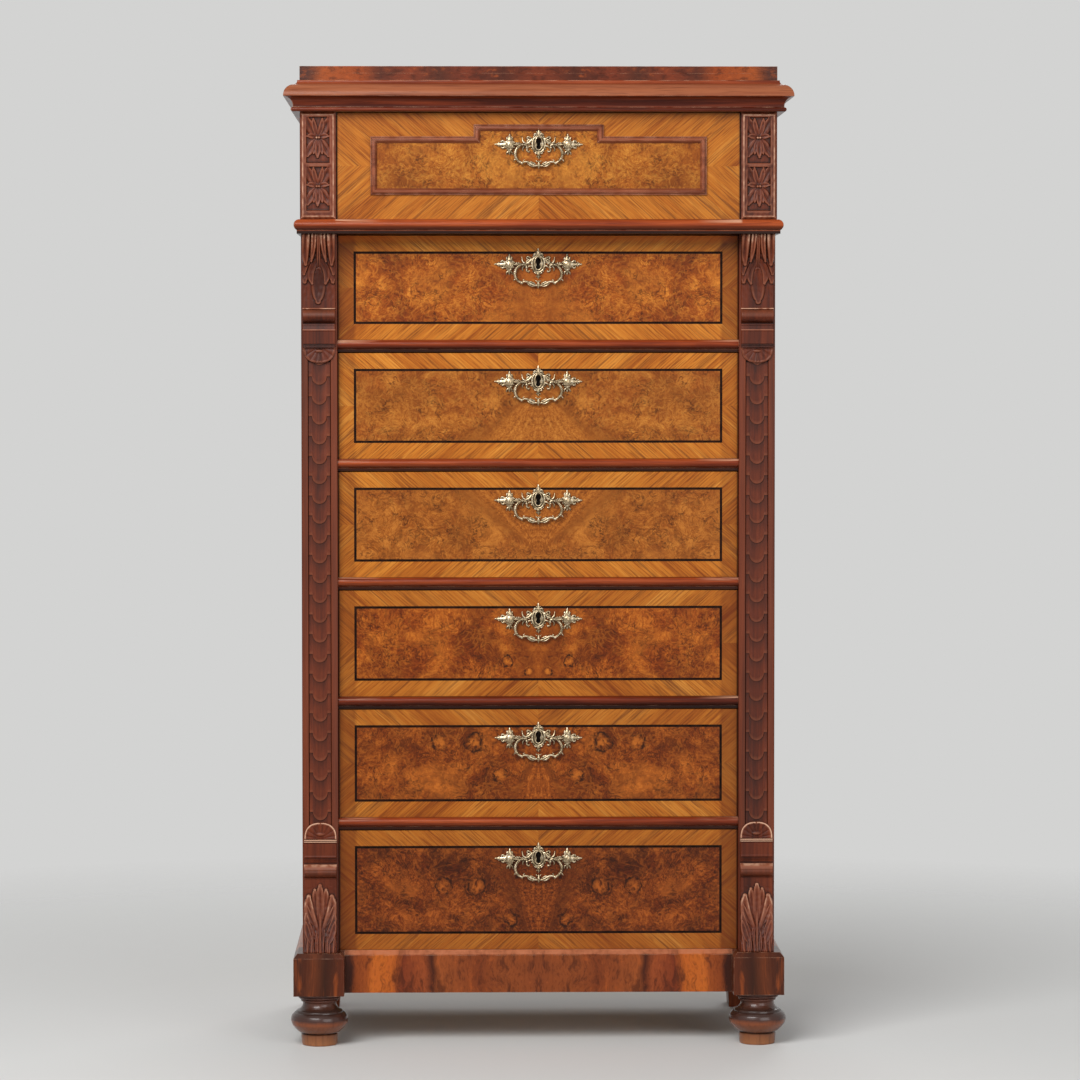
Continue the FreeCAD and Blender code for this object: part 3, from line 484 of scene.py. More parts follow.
# painted shadow under the waist, a lighter one over its lower half, and under each rail
shadowed_edges = [(openings[0], 13 * mm, 0.4), (openings[0], 5.8 * mm, 0.95)]
shadowed_edges += [(opening, 5.8 * mm, 0.9) for opening in openings[1:]]
# the cornice's ovolo faces up into the light: a painted highlight
ovolo = (cornice_low.z + 21.4 * mm, cornice_low.z + 39.5 * mm, (148, 86, 56))
board_pitch = 0.4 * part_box("back_panel")[1].x    # five boards across the back

cornice_walnut = wood("walnut_cornice", RED_WALNUT, "x", POLISHED, edge=1.5 * mm, pale=ovolo)
# the waist and the rails: painted shade on their downward faces and painted shadow under their lower edges
moulding_walnut = wood("walnut_mouldings", MOULDING_WALNUT, "x", POLISHED, edge=1.5 * mm, underside_shade=0.65,
                       ledges=shadowed_edges)
# the top drawer's moulding: its edges are painted light, partly as rubbing and partly as a painted highlight,
# and painted shade stands in its corners
stained_walnut = wood("stained_moulding", STAINED_WALNUT, "x", DULL, (200, 142, 112), edge=2.0 * mm,
                      corner_shade=0.85)
side_walnut = wood("walnut_sides", SIDE_WALNUT, "z", POLISHED, figure=120.0)
pine = wood("aged_pine", PINE, "x", BARE, rubbed_pine, figure=60.0)
back_pine = wood("back_boards", OLD_PINE, "z", BARE, rubbed_pine, figure=60.0, pitch=board_pitch)
drawer_pine = wood("drawer_pine", PINE, "box", BARE, rubbed_pine, figure=60.0)
core = wood("drawer_front_core", FRONT_CORE, "x", BARE, rubbed_pine, figure=80.0)
carving = carved()
metal = brass()
lock_metal = iron()
feet_wood = turned_wood()
band = crossband()
string_line = stringing()

plinth_veneer = figured("plinth_veneer", 0.28, [
    (0.0, (119, 58, 28)), (0.18, (130, 65, 30)), (0.30, (112, 52, 24)), (0.50, (140, 71, 33)),
    (0.54, (61, 26, 15)), (0.58, (136, 65, 32)), (0.70, (112, 48, 24)), (0.76, (171, 86, 30)),
    (0.84, (177, 91, 32)), (0.87, (140, 67, 26)), (0.94, (130, 61, 26)), (0.97, (58, 26, 17)),
    (1.0, (61, 30, 19))], upright=0.3, pale_above=plinth_top - 6.6 * mm)
block_veneer = figured("plinth_block_veneer", 0.36, [
    (0.0, (76, 36, 20)), (0.78, (84, 38, 20)), (0.84, (50, 26, 16)), (0.9, (94, 46, 24)),
    (0.96, (60, 30, 20)), (1.0, (80, 38, 22))])
attic_veneer = figured("attic_veneer", 0.339, [
    (0.0, (111, 48, 26)), (0.14, (72, 33, 21)), (0.3, (107, 46, 26)), (0.42, (74, 37, 25)),
    (0.55, (116, 51, 28)), (0.66, (81, 39, 26)), (0.74, (137, 62, 26)), (0.9, (148, 72, 32)),
    (0.97, (74, 42, 33)), (1.0, (70, 40, 33))], upright=0.8)

# the drawers' fields, top first: shades, red patches, knots, fan, lines, spots
BURLS = [
    (((104, 50, 14), (158, 88, 27), (198, 132, 52)), (138, 66, 21), [], None, 14.0, 0.6),
    (((92, 38, 12), (152, 76, 22), (202, 124, 46)), (124, 50, 16), [], (-0.25, 1, 0.10), 18.0, 0.7),
    (((108, 54, 16), (156, 88, 30), (190, 122, 50)), (130, 56, 18), [], (-0.012, -1, 0.9), 30.0, 0.6),
    (((98, 48, 14), (147, 80, 26), (184, 114, 46)), (120, 50, 16), [], (-0.075, 1, 0.9), 28.0, 0.6),
    (((78, 32, 9), (144, 69, 20), (192, 110, 38)), (112, 42, 12),
     [(0.045, -0.062, 0.008), (0.015, -0.075, 0.006)], (-0.25, 1, 0.08), 18.0, 0.8),
    (((64, 27, 9), (128, 60, 18), (180, 100, 36)), (98, 36, 10),
     [(0.094, -0.007, 0.013), (0.141, -0.007, 0.012), (0.055, -0.055, 0.010)], (-0.02, -1, 0.5), 17.0, 0.85),
    (((44, 19, 8), (110, 49, 16), (164, 86, 32)), (82, 28, 9),
     [(0.089, -0.041, 0.013), (0.136, -0.040, 0.012), (0.04, -0.088, 0.010)], (-0.15, 1, 0.36), 17.0, 0.85),
]
fields = {number: burl(number, *row) for number, row in zip(drawer_numbers, BURLS)}


# ---------------------------------------------------------------- mesh helpers
SIDES = (("right", 1), ("left", -1))


def show(name, data):
    thing = bpy.data.objects.new(name, data)
    bpy.context.scene.collection.objects.link(thing)
    return thing


def make_mesh(name, points, faces, smooth=None):
    """smooth is the angle, in degrees, under which edges are shaded round."""
    mesh = bpy.data.meshes.new(name)
    mesh.from_pydata(np.asarray(points, float).tolist(), [], faces)
    mesh.validate()
    if smooth is not None:
        mesh.shade_smooth()
        mesh.set_sharp_from_angle(angle=radians(smooth))
    return mesh


def add_piece(name, mesh, body, material, location=(0.0, 0.0, 0.0)):
    piece = show(name, mesh)
    piece.location = location
    if not mesh.materials:
        mesh.materials.append(material)
    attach(piece, body)


def add_mesh(name, points, faces, body, material, uvs=None, ridge=None, smooth=None):
    """A piece from points in metres, riding on a body."""
    mesh = make_mesh(name, points, faces, smooth)
    if uvs is not None:
        layer = mesh.uv_layers.new(name="grain")
        corners = np.zeros(len(mesh.loops), int)
        mesh.loops.foreach_get("vertex_index", corners)
        layer.data.foreach_set("uv", np.asarray(uvs, float)[corners].ravel())
    if ridge is not None:
        values = mesh.attributes.new("ridge", "FLOAT", "POINT")
        values.data.foreach_set("value", np.asarray(ridge, np.float32))
    add_piece(name, mesh, body, material)


def stands_for(node):
    """Hides a CAD node; the pieces built for it stand in its place."""
    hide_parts(node)


def turns(count):
    return [2 * pi * k / count for k in range(count)]


def prism(outline, y_front, y_back):
    """Points and faces of a slab whose outline is drawn in (x, z), anticlockwise seen from -Y."""
    count = len(outline)
    points = [(x, y, z) for y in (y_front, y_back) for x, z in outline]
    faces = [tuple(range(count)), tuple(range(2 * count - 1, count - 1, -1))]
    for i in range(count):
        j = (i + 1) % count
        faces.append((i, i + count, j + count, j))
    return points, faces


def rod_faces(rings, count):
    """Faces of a closed rod, from rings of `count` points each."""
    faces = []
    last = (rings - 1) * count
    for a in range(0, last, count):
        for k in range(count):
            j = (k + 1) % count
            faces.append((a + k, a + j, a + count + j, a + count + k))
    return faces + [tuple(range(count - 1, -1, -1)), tuple(range(last, last + count))]


def hoop_faces(steps, count):
    """Faces of a hoop, from sections of `count` points each."""
    faces = []
    for i in range(steps):
        a, b = i * count, (i + 1) % steps * count
        for k in range(count):
            j = (k + 1) % count
            faces.append((a + k, b + k, b + j, a + j))
    return faces


def grid_solid(x, z, y, y_back):
    """A closed piece from a grid of front points, rows upwards, with walls back to y_back. Also
    gives how many points its back has."""
    rows, columns = x.shape
    front = np.stack([x, y, z], -1).reshape(-1, 3)
    index = np.arange(rows * columns).reshape(rows, columns)
    quads = np.stack([index[:-1, :-1], index[:-1, 1:], index[1:, 1:], index[1:, :-1]], -1)
    faces = [tuple(q) for q in quads.reshape(-1, 4).tolist()]
    rim = [*index[0], *index[1:, -1], *index[-1, -2::-1], *index[-2:0:-1, 0]]
    back = front[rim].copy()
    back[:, 1] = y_back
    base, count = len(front), len(rim)
    for i in range(count):
        j = (i + 1) % count
        faces.append((int(rim[i]), base + i, base + j, int(rim[j])))
    faces.append(tuple(range(base + count - 1, base - 1, -1)))
    return np.concatenate([front, back]), faces, count


# ---------------------------------------------------------------- carving
def sharpness(height, step):
    """How far each point of a relief stands over or under its neighbours."""
    padded = np.pad(height, step, mode="edge")
    total = np.zeros_like(height)
    for i in range(2 * step + 1):
        for j in range(2 * step + 1):
            total += padded[i:i + height.shape[0], j:j + height.shape[1]]
    return height - total / (2 * step + 1) ** 2


def carve(pattern, x, z, out, y_back, spread=0.55, wear_and_painted_light=0.0, relief=None, y_plane=pilaster_y):
    """A relief in millimetres on the right-hand post, and its mirror image on the left-hand one. Its
    ridge value comes from the sharp edges of relief (or of the whole form), and a given value is added to it:
    rubbing, painted highlight and painted shade.
    The sides' names go into the pattern."""
    grids = [x, z, out, np.broadcast_to(wear_and_painted_light, x.shape), out if relief is None else relief]
    if z[0, 0] > z[-1, 0]:
        grids = [grid[::-1] for grid in grids]
    x, z, out, wear_and_painted_light, relief = grids
    edges = np.clip((0.6 * sharpness(relief, 2) + 0.4 * sharpness(relief, 7)) * spread, -0.38, 0.22)
    ridge = np.clip(0.5 + edges + wear_and_painted_light, 0, 1)
    points, faces, rim = grid_solid(post_middle + x * mm, z * mm, y_plane - out * mm, y_back)
    values = np.concatenate([ridge.ravel(), np.full(rim, 0.5)])
    for side, sign in SIDES:
        turned = [face[::sign] for face in faces]
        add_mesh(pattern.format(side), points * (sign, 1, 1), turned, "root", carving,
                 ridge=values, smooth=50)


def petal(x, z, root, tip, bend, width, rise, vein=0.6, low=0.35):
    """Height of one lobe of a leaf. It runs from root to tip, bowed sideways by bend, is `width`
    wide and rises towards its tip. Its edges are raised and a vein runs down its middle."""
    t = np.linspace(0, 1, 60)[:, None]
    start, end = np.array(root, float), np.array(tip, float)
    run = end - start
    normal = np.array([-run[1], run[0]])
    spine = start + t * run + 4 * t * (1 - t) * bend * normal
    best = np.full(x.shape, 1e9)
    share = np.zeros(x.shape)
    for value, (px, pz) in zip(t[:, 0], spine):
        distance = np.hypot(x - px, z - pz)
        share = np.where(distance < best, value, share)
        best = np.minimum(best, distance)
    half = width / 2 * np.sin(pi * np.clip(share, 0.03, 0.97) ** 0.9) ** 0.36
    ratio = best / half
    cupped = 0.8 + 0.2 * np.clip(ratio, 0, 1) ** 2
    border = np.sin(pi / 2 * np.clip((1 - ratio) / 0.4, 0, 1)) ** 0.8
    groove = vein * np.exp(-(best / (0.11 * width)) ** 2) * np.clip((0.9 - share) / 0.2, 0, 1)
    shape = rise * (low + (1 - low) * share) * cupped * border - groove
    return np.where(ratio < 1, np.maximum(shape, 0), 0)


def lobes(x, z, rows):
    """Lobes laid over each other. All but those rooted on the centre line have a mirror image."""
    high = np.zeros_like(x)
    for root, *form in rows:
        high = np.maximum(high, petal(x, z, root, *form))
        if root[0] != 0:
            high = np.maximum(high, petal(-x, z, root, *form))
    return high


def stalk(x, s, rise, half, top, groove):
    upright = rise * np.exp(-(x / half) ** 4) * np.clip((top - s) / 50, 0, 1)
    return upright - 0.8 * np.exp(-(x / groove) ** 2)


def tool_marks(x, z, seed, size=0.12):
    """Small unevenness left by the gouge."""
    rng = np.random.default_rng(seed)
    total = np.zeros_like(x)
    for _ in range(9):
        fx, fz = rng.uniform(-0.9, 0.9, 2)
        total += np.sin(fx * x + fz * z + rng.uniform(0, 2 * pi))
    return size * total / 3


# consoles, measured from their wide ends: the leaf, the roll under it, the plain block and fillets
console_half = 23.5
leaf_end = 94.0
roll_middle, roll_radius = 116.5, 9.0
block_start, block_end = 135.5, 156.0


def console_rows(upper):
    """Rows of a console: distance from its wide end, how far it stands out, and how much lighter or darker it
    is painted: rubbing, painted highlight and painted shade.
    """
    # painted highlight and painted shade on the lip, the block's edge and the fillets, set differently for
    # the hanging console and the standing one
    lip, block_edge, fillet = (0.42, 0.3, -0.25) if upper else (-0.15, 0.0, 0.6)
    rows = [(s, 5.5 + 20.5 * (1 - min(s / 88.0, 1.0)) ** 2.0 - 2.0 * max(0.0, 1 - s / 3.0) ** 2, 0)
            for s in np.arange(0.0, 104.0, 0.5)]
    rows += [(104.6, 5.5, 0), (105.4, 6.6, lip), (106.4, 6.6, lip), (106.8, 5.4, -0.1)]
    for degrees in np.linspace(-80, 80, 17):
        angle = radians(degrees)
        dent = 0.9 if abs(degrees) < 6 and not upper else 0.0
        # the roll painted lighter on one side and darker on the other, a painted highlight and painted shade,
        # turned over for the hanging console
        rubbed_and_lit = 0.12 * cos(radians(degrees + 40)) - 0.2 * max(0.0, sin(angle))
        rows.append((roll_middle + roll_radius * sin(angle), 4.6 + roll_radius * cos(angle) - dent,
                     rubbed_and_lit if upper else 0.2 - rubbed_and_lit))
    # the recessed fillets painted darker, a painted shade
    rows += [(126.0, 5.0, -0.2), (126.5, 3.6, -0.3), (128.0, 3.4, -0.3), (128.4, 3.4, -0.2), (128.4, 5.0, 0),
             (130.0, 5.4, 0), (130.2, 4.2, -0.25), (131.0, 4.4, -0.1), (block_start, 5.2, -0.1),
             (block_start, 8.0, block_edge), (136.6, 8.6, block_edge), (137.4, 8.4, 0), (138.2, 8.0, 0)]
    rows += [(s, 8.0, 0) for s in np.arange(139.0, 155.6, 1.6)]
    rows += [(block_end, 8.0, 0), (block_end, 3.8, -0.2), (157.2, 3.8, -0.2), (157.2, 6.0, fillet),
             (158.5, 6.2, fillet), (158.5, 3.8, -0.2), (159.7, 3.8, -0.2), (159.7, 6.0, fillet),
             (161.0, 6.2, fillet)]
    return np.array(rows)


def upper_leaf(x, s):
    """Acanthus that hangs from the waist moulding: three tiers of lobes and a pointed end."""
    high = lobes(x, s, [
        ((0, 52), (1.0, 96), 0, 22, 3.0, 0.6, 0.7), ((1, 32), (20.0, 68), -0.14, 16, 3.8, 1.0),
        ((0.5, 36), (9.5, 70), -0.16, 12, 4.2), ((2, 26), (21.0, 57), -0.16, 12, 4.6, 1.0),
        ((14, -30), (18.5, 43), -0.03, 15, 6.6, 1.6, 0.7), ((9, -30), (10.5, 39), 0.05, 9, 7.2, 1.0, 0.7)])
    return np.maximum(high, stalk(x, s, 4.6, 3.4, 64, 0.8))


def lower_leaf(x, s):
    """Acanthus that stands on the plinth, over rough upright gouge cuts."""
    high = lobes(x, s, [
        ((0, 44), (0.5, 95), 0, 15, 3.2, 0.6, 0.5), ((1.0, 50), (8.0, 89), -0.05, 12, 3.2, 0.8),
        ((1.0, 22), (16.5, 79), -0.10, 19, 5.0, 1.5, 0.5), ((9, 40), (19.5, 66), -0.04, 9, 4.6, 0.8, 0.6),
        ((8, 22), (20.5, 55), -0.08, 11, 4.6, 0.6, 0.5), ((12, 14), (21.0, 43), -0.04, 11, 4.8, 0.6, 0.6)])
    high = np.maximum(high, stalk(x, s, 4.0, 2.0, 84, 0.7))
    cuts = 2.0 * np.abs(np.sin(0.42 * x + 0.5 * np.sin(0.11 * s + 0.35 * x))) ** 0.7
    cuts += 0.8 * np.abs(np.sin(1.1 * x + 0.9 * np.sin(0.17 * s)))
    return np.maximum(high, cuts * np.clip((42 - s + 3 * np.sin(0.9 * x)) / 12, 0, 1))


def consoles():
    for name, leaf, seed in (("upper", upper_leaf, 3), ("lower", lower_leaf, 5)):
        upper = name == "upper"
        rows = console_rows(upper)
        x, s = np.meshgrid(np.linspace(-console_half, console_half, 95), rows[:, 0])
        z = waist_z / mm - s if upper else plinth_top / mm + s
        rounding = 1.2 * np.clip((np.abs(x) - (console_half - 1.5)) / 1.5, 0, 1) ** 2
        relief = leaf(x, s)
        out = rows[:, 1:2] + relief - rounding + tool_marks(x, s, seed) * (s < leaf_end)
        if upper:
            # painted reflection: a pale sheen over the top of the hanging console
            wear_and_painted_light = rows[:, 2:] + 0.3 * np.clip(1 - s / 26, 0, 1)
        else:
            # raised lobes above the foot painted lighter, partly as rubbing and partly as a painted highlight
            wear_and_painted_light = rows[:, 2:] + 0.16 * np.clip(relief / 3, 0, 1) * np.clip((s - 34) / 20, 0, 1)
        carve(name + "_console_{}", x, z, out, pilaster_y + 2 * mm, wear_and_painted_light=wear_and_painted_light, relief=relief)
        stands_for(f"{name}_consoles")


# pilasters: a sunk shaft of scales, whose lower edges have two shoulders and a round tongue
shaft_low, shaft_high = 297.0, 1003.0
shaft_half = 16.0
scales_high = 981.0
scale_pitch = 28.4
scale_count = 23
first_tip = 948.4
tongue_half = 10.5
tongue_drop = 12.0
shell_half, shell_height = 23.2, 23.4


def scale_edge(x, number):
    tongue = tongue_drop * np.sqrt(np.clip(1 - (x / tongue_half) ** 2, 0, 1))
    return first_tip - number * scale_pitch + tongue_drop - tongue


def scales():
    inner = tongue_half * np.sin(np.linspace(-pi / 2, pi / 2, 27))
    wing = np.array([tongue_half + 0.3, 12.0, 14.0, shaft_half - 0.7])
    steps = (0.0, 0.04, 0.25, 0.5, 0.75, 1.0)
    numbers = np.arange(scale_count, -2, -1)
    x, number = np.meshgrid(np.concatenate([-wing[::-1], inner, wing]), np.repeat(numbers, len(steps)))
    share = np.tile(steps, len(numbers))[:, None]
    edge = scale_edge(x, number)
    z = edge + share * (scale_edge(x, number - 1) - edge)
    out = -0.9 - 0.3 * (share == 0.0) - 1.7 * share ** 0.8
    out = out + 0.5 * np.cos(x / shaft_half * pi / 2) + tool_marks(x, z, 8, 0.08)
    carve("pilaster_{}_scales", x, np.clip(z, shaft_low, scales_high), out, pilaster_y + 8 * mm, spread=0.3,
          wear_and_painted_light=-0.05)


def shell(x, z):
    """A scallop, its hinge at z = 0. Gives its relief and how near each point is to the rim."""
    radius = (np.abs(x / shell_half) ** 2.5 + np.abs(z / shell_height) ** 2.5) ** 0.4
    angle = np.arctan2(x / shell_half, np.maximum(z, 0.01) / shell_height)
    fluted = 0.8 * np.abs(np.cos(angle * 8.0)) ** 0.6
    dome = 0.6 + 1.6 * radius ** 1.5 + fluted * np.clip(radius * 1.6, 0, 1)
    rim = np.exp(-((radius - 0.95) / 0.035) ** 2)
    heart = 2.6 * np.clip(1 - (x / 7.0) ** 2 - ((z - 6.5) / 3.0) ** 2, 0, 1) ** 0.5
    notch = np.exp(-(x / 0.9) ** 2) * np.clip((radius - 0.85) / 0.1, 0, 1)
    relief = np.maximum(dome + 0.7 * rim, heart) - 1.2 * notch
    return np.where(radius < 1, relief, -3.6), rim * (1 - notch)


def pilasters():
    """Posts with raised borders round a sunk shaft of overlapping scales, between two shells."""
    boards = [(-post_half, post_half, plinth_top / mm, shaft_low),
              (-post_half, post_half, shaft_high, waist_z / mm),
              (-post_half, -shaft_half, shaft_low, shaft_high),
              (shaft_half, post_half, shaft_low, shaft_high)]
    for i, (x0, x1, z0, z1) in enumerate(boards):
        drops = [-1.4 if x0 == shaft_half else -0.6, 0.0, 0.0, -1.4 if x1 == -shaft_half else -0.6]
        rows = np.linspace(z0, z1, max(2, int((z1 - z0) / 30)))
        x, z = np.meshgrid([x0, x0 + 0.6, x1 - 0.6, x1], rows)
        out = drops + tool_marks(x, z, 11, 0.05)
        carve("pilaster_{}_board_" + str(i), x, z, out, pilaster_high.y, spread=0.1)
    scales()
    x, s = np.meshgrid(np.linspace(-23.4, 23.4, 91), np.linspace(0, 23.6, 50))
    out, rim = shell(x, s)
    # the foot shell's rim is painted lighter, a painted highlight, and the top shell's rim a little darker, a
    # painted shade
    for end, z, rubbed_and_lit in (("top", shaft_high - s, -0.12), ("foot", shaft_low + s, 0.5)):
        carve("pilaster_{}_shell_" + end, x, z, out, pilaster_y + 6 * mm, wear_and_painted_light=rubbed_and_lit * rim)
    for side, _ in SIDES:
        stands_for(f"pilaster_{side}")


def flower(x, z, tall):
    """A carved flower: two fans of leaves up and down, small ones sideways, two berries."""
    high = lobes(x, z, [
        ((1.0, 3), (15.2, tall), -0.08, 15, 2.7, 0.9), ((0.8, 3), (6.4, tall - 1), -0.05, 8.5, 3.0, 0.7),
        ((2.5, 0.5), (14.8, 2.0), 0.10, 9, 2.6), ((1.0, -3), (14.8, -tall + 2), 0.06, 14, 2.6, 0.9),
        ((0.6, -3), (6.0, -tall + 5), 0.04, 8, 2.8), ((0, -3), (0.6, -tall), 0, 10, 3.2, 0.9)])
    for berry in (-1.8, 1.8):
        distance = np.hypot(x - berry, z)
        high = np.maximum(high, 4.2 * np.sqrt(np.clip(1 - (distance / 2.1) ** 2, 0, 1)))
    return high


# sunk panels of the frieze blocks: lower and upper edge, their flower's middle, and how tall it is
flower_panels = [(1195.2, 1258.1, 1230.0, 27.0), (1262.6, 1328.7, 1299.0, 27.5)]
panel_half = 16.8
bevel = 4.2


def frieze_blocks():
    """Bevelled blocks beside the top drawer, each with two sunk panels that hold a flower."""
    low, high = frieze_low.z / mm, frieze_high.z / mm
    x_line = [-post_half, *np.linspace(-post_half + 1.0, post_half - 1.0, 92), post_half]
    x, z = np.meshgrid(x_line, [low, *np.linspace(low + 1.0, high - 1.0, 256), high])
    edge = np.minimum(post_half - np.abs(x), np.minimum(z - low, high - z))
    out = -2.2 * np.clip(1 - edge / bevel, 0, 1)
    # the bevel and its inner edge painted lighter: painted highlight with rubbing
    wear_and_painted_light = 0.16 * np.clip(1 - np.abs(edge - 0.5 * bevel) / bevel, 0, 1)
    wear_and_painted_light = wear_and_painted_light + 0.2 * np.exp(-((edge - bevel) / 0.7) ** 2)
    for z0, z1, middle, tall in flower_panels:
        depth = np.minimum(panel_half - np.abs(x), np.minimum(z - z0, z1 - z))
        out = out - np.clip(depth / 1.2, 0, 1) * (2.9 - flower(x, z - middle, tall))
        # the berries painted lighter
        wear_and_painted_light = wear_and_painted_light + 0.3 * np.clip(1 - np.hypot(np.abs(x) - 1.8, z - middle) / 2.2, 0, 1)
    carve("frieze_block_{}", x, z, out + tool_marks(x, z, 21), frieze_high.y, spread=0.8, wear_and_painted_light=wear_and_painted_light,
          y_plane=frieze_low.y)
    stands_for("frieze_blocks")


# ---------------------------------------------------------------- turned and plain feet
# (radius, height) of the turned feet, which stand under the blocks' dowel holes
FOOT_PROFILE = [
    (24.0, 0), (25.2, 0.6), (25.6, 2.0), (26.6, 15.6), (26.0, 16.4), (25.4, 17.2), (27.4, 17.8), (30.5, 19.8),
    (35.4, 24.6), (39.6, 30.0), (41.0, 35.0), (41.0, 38.5), (39.8, 42.6), (36.8, 46.0), (34.8, 47.2),
    (34.2, 46.8), (33.8, 47.0), (33.5, 49.0), (32.4, 50.2), (29.6, 51.2), (26.8, 53.4), (24.8, 56.4),
    (23.8, 59.4), (23.8, 61.4), (24.6, 62.6), (26.6, 63.2), (26.9, 65.2), (26.2, 65.8), (28.2, 66.6),
    (30.2, 68.0), (30.6, 69.4), (29.8, 70.2), (31.6, 71.0), (31.8, 74.0)]
foot_height = 74 * mm
foot_inset = 36.25 * mm
rear_foot = 55 * mm


def feet():
    """Two turned feet in front, two tapered posts behind."""
    spots = np.linspace(0, 1, len(FOOT_PROFILE))
    share = np.linspace(0, 1, 150)
    radius, level = (np.interp(share, spots, line) * mm for line in np.array(FOOT_PROFILE).T)
    angles = turns(72)
    x_edge = block_high.x
    for side, sign in SIDES:
        x_middle, y_middle = sign * (x_edge - foot_inset), block_low.y + foot_inset
        points = [(x_middle + r * cos(angle), y_middle + r * sin(angle), z)
                  for r, z in zip(radius, level) for angle in angles]
        add_mesh(f"turned_foot_{side}", points, rod_faces(len(share), len(angles)), "root", feet_wood,
                 smooth=28)
        points = []
        for z, wide in ((0.0, rear_foot), (foot_height, rear_foot + 5 * mm)):
            inner, outer, y = sign * (x_edge - wide), sign * x_edge, back_y - wide
            points += [(inner, y, z), (outer, y, z), (outer, back_y, z), (inner, back_y, z)]
        add_mesh(f"rear_foot_{side}", points, [face[::sign] for face in rod_faces(2, 4)], "root", side_walnut)
    stands_for("feet")


# ---------------------------------------------------------------- drawer fronts
veneer = 0.9 * mm
border = 24.2 * mm
string_width = 3.5 * mm
keyhole_outline = [(0.0, 9.9 * mm), (4.3 * mm, 9.9 * mm), (4.3 * mm, -7.7 * mm), (0.0, -7.7 * mm)]

# the top drawer's panel, in millimetres: the outer edge of its moulding, and where veneers meet
shaped_half, shaped_low, shaped_high = 238.5, 1218.5, 1300.5
raised_half, raised_high = 92.0, 1317.5
under_moulding = 4.0
top_field_half = 234.0


def handle_place(number):
    """Face of a drawer and the height of its keyhole, from its handle plate."""
    low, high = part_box(f"drawer_{number}_handle_plate")
    return high.y, (low.z + high.z) / 2


def mirrored(outline):
    return [(-x, z) for x, z in reversed(outline)]


def veneers(number, part, outlines, material, uv=lambda x, z, index: (x, z), thickness=veneer):
    """Sheets laid on a drawer's face. uv gives the grain's coordinates of (x, z)."""
    face, _ = handle_place(number)
    points, faces, uvs = [], [], []
    for index, outline in enumerate(outlines):
        sheet_points, sheet_faces = prism(outline, face - thickness, face)
        faces += [tuple(len(points) + i for i in sheet_face) for sheet_face in sheet_faces]
        points += sheet_points
        uvs += [uv(x, z, index) for x, _, z in sheet_points]
    add_mesh(f"drawer_{number}_{part}", points, faces, f"drawer_{number}", material, uvs=uvs)


def drawer_front(number):
    """Mitred crossbanding, a field matched at the centre, the keyhole's lining, and stringing."""
    _, keyhole = handle_place(number)
    low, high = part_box(f"drawer_{number}_front")
    z0, z1, half = low.z, high.z, drawer_half
    middle = (z0 + z1) / 2
    if number == 1:
        x, string = top_field_half * mm, 0.0
        bottom, top = (shaped_low + under_moulding) * mm, (shaped_high - under_moulding) * mm
        step, raised = (raised_half - under_moulding) * mm, (raised_high - under_moulding) * mm
    else:
        inset = border - string_width / 2
        x, bottom, top = half - inset, z0 + inset, z1 - inset
        string = string_width

    def upper_edge(level):
        """From the field's corner to the centre line."""
        return [(step, level), (step, raised), (0, raised)] if number == 1 else [(0, level)]

    strips = [
        [(0, z0), (half, z0), (x, bottom), (0, bottom)],
        [(half, z0), (half, middle), (x, middle), (x, bottom)],
        [(half, middle), (half, z1), (x, top), (x, middle)],
        [(half, z1), (0, z1), *upper_edge(top)[::-1], (x, top)],
    ]
    veneers(number, "crossband", strips + [mirrored(strip) for strip in strips], band,
            lambda x, z, index: (abs(x) + 1.7 * number + 0.31 * index, abs(z - middle) + 0.23 * index))
    notch = [(across, keyhole + up) for across, up in keyhole_outline]
    field_x, field_low, field_top = x - string, bottom + string, top - string
    field = [(0, field_low), (field_x, field_low), (field_x, field_top), *upper_edge(field_top), *notch]
    veneers(number, "field", [field, mirrored(field)], fields[number],
            lambda x, z, index: (abs(x), z - keyhole))
    # the hole is narrower and shorter than its lining
    lining = notch[::-1] + [(across * 0.55, keyhole + up * 0.82) for across, up in keyhole_outline]
    veneers(number, "keyhole", [lining, mirrored(lining)], string_line, thickness=0.5 * veneer)
    if number > 1:
        outer = [(-x, bottom), (x, bottom), (x, top), (-x, top)]
        inner = [(-field_x, field_low), (field_x, field_low), (field_x, field_top), (-field_x, field_top)]
        strips = [[outer[i - 1], outer[i], inner[i], inner[i - 1]] for i in (1, 2, 3, 0)]
        veneers(number, "stringing", strips, string_line, thickness=veneer - 0.08 * mm)


def shaped_moulding():
    """Moulding on the top drawer, mitred round its shaped panel. Its section is drawn from the
    panel's side to the outer side: (across, out)."""
    face, _ = handle_place(1)
    section = [(4.6, 0.0), (4.6, 1.9), (4.1, 2.5), (3.3, 3.3), (2.4, 4.9), (2.1, 5.1), (1.8, 5.5), (1.0, 6.0),
               (-0.6, 6.0), (-1.5, 5.7), (-2.0, 5.1), (-2.6, 4.1), (-3.1, 3.5), (-3.2, 3.9), (-4.4, 3.9),
               (-4.6, 3.7), (-4.6, 0.0)]
    inset = 4.25    # from the moulding's outer edge to the line that it is drawn round
    right = [(shaped_half - inset, shaped_low + inset), (shaped_half - inset, shaped_high - inset),
             (raised_half - inset, shaped_high - inset), (raised_half - inset, raised_high - inset)]
    path = np.array(right + mirrored(right))
    run = np.roll(path, -1, 0) - path
    run /= np.hypot(*run.T)[:, None]
    inward = np.stack([-run[:, 1], run[:, 0]], -1)
    mitre = inward + np.roll(inward, 1, 0)
    mitre *= 2 / (mitre ** 2).sum(1)[:, None]
    points = [(x * mm, face - out * mm, z * mm) for corner, turn in zip(path, mitre)
              for across, out in section for x, z in [corner + turn * across]]
    add_mesh("drawer_1_moulding", points, hoop_faces(len(path), len(section)), "drawer_1", stained_walnut,
             smooth=30)


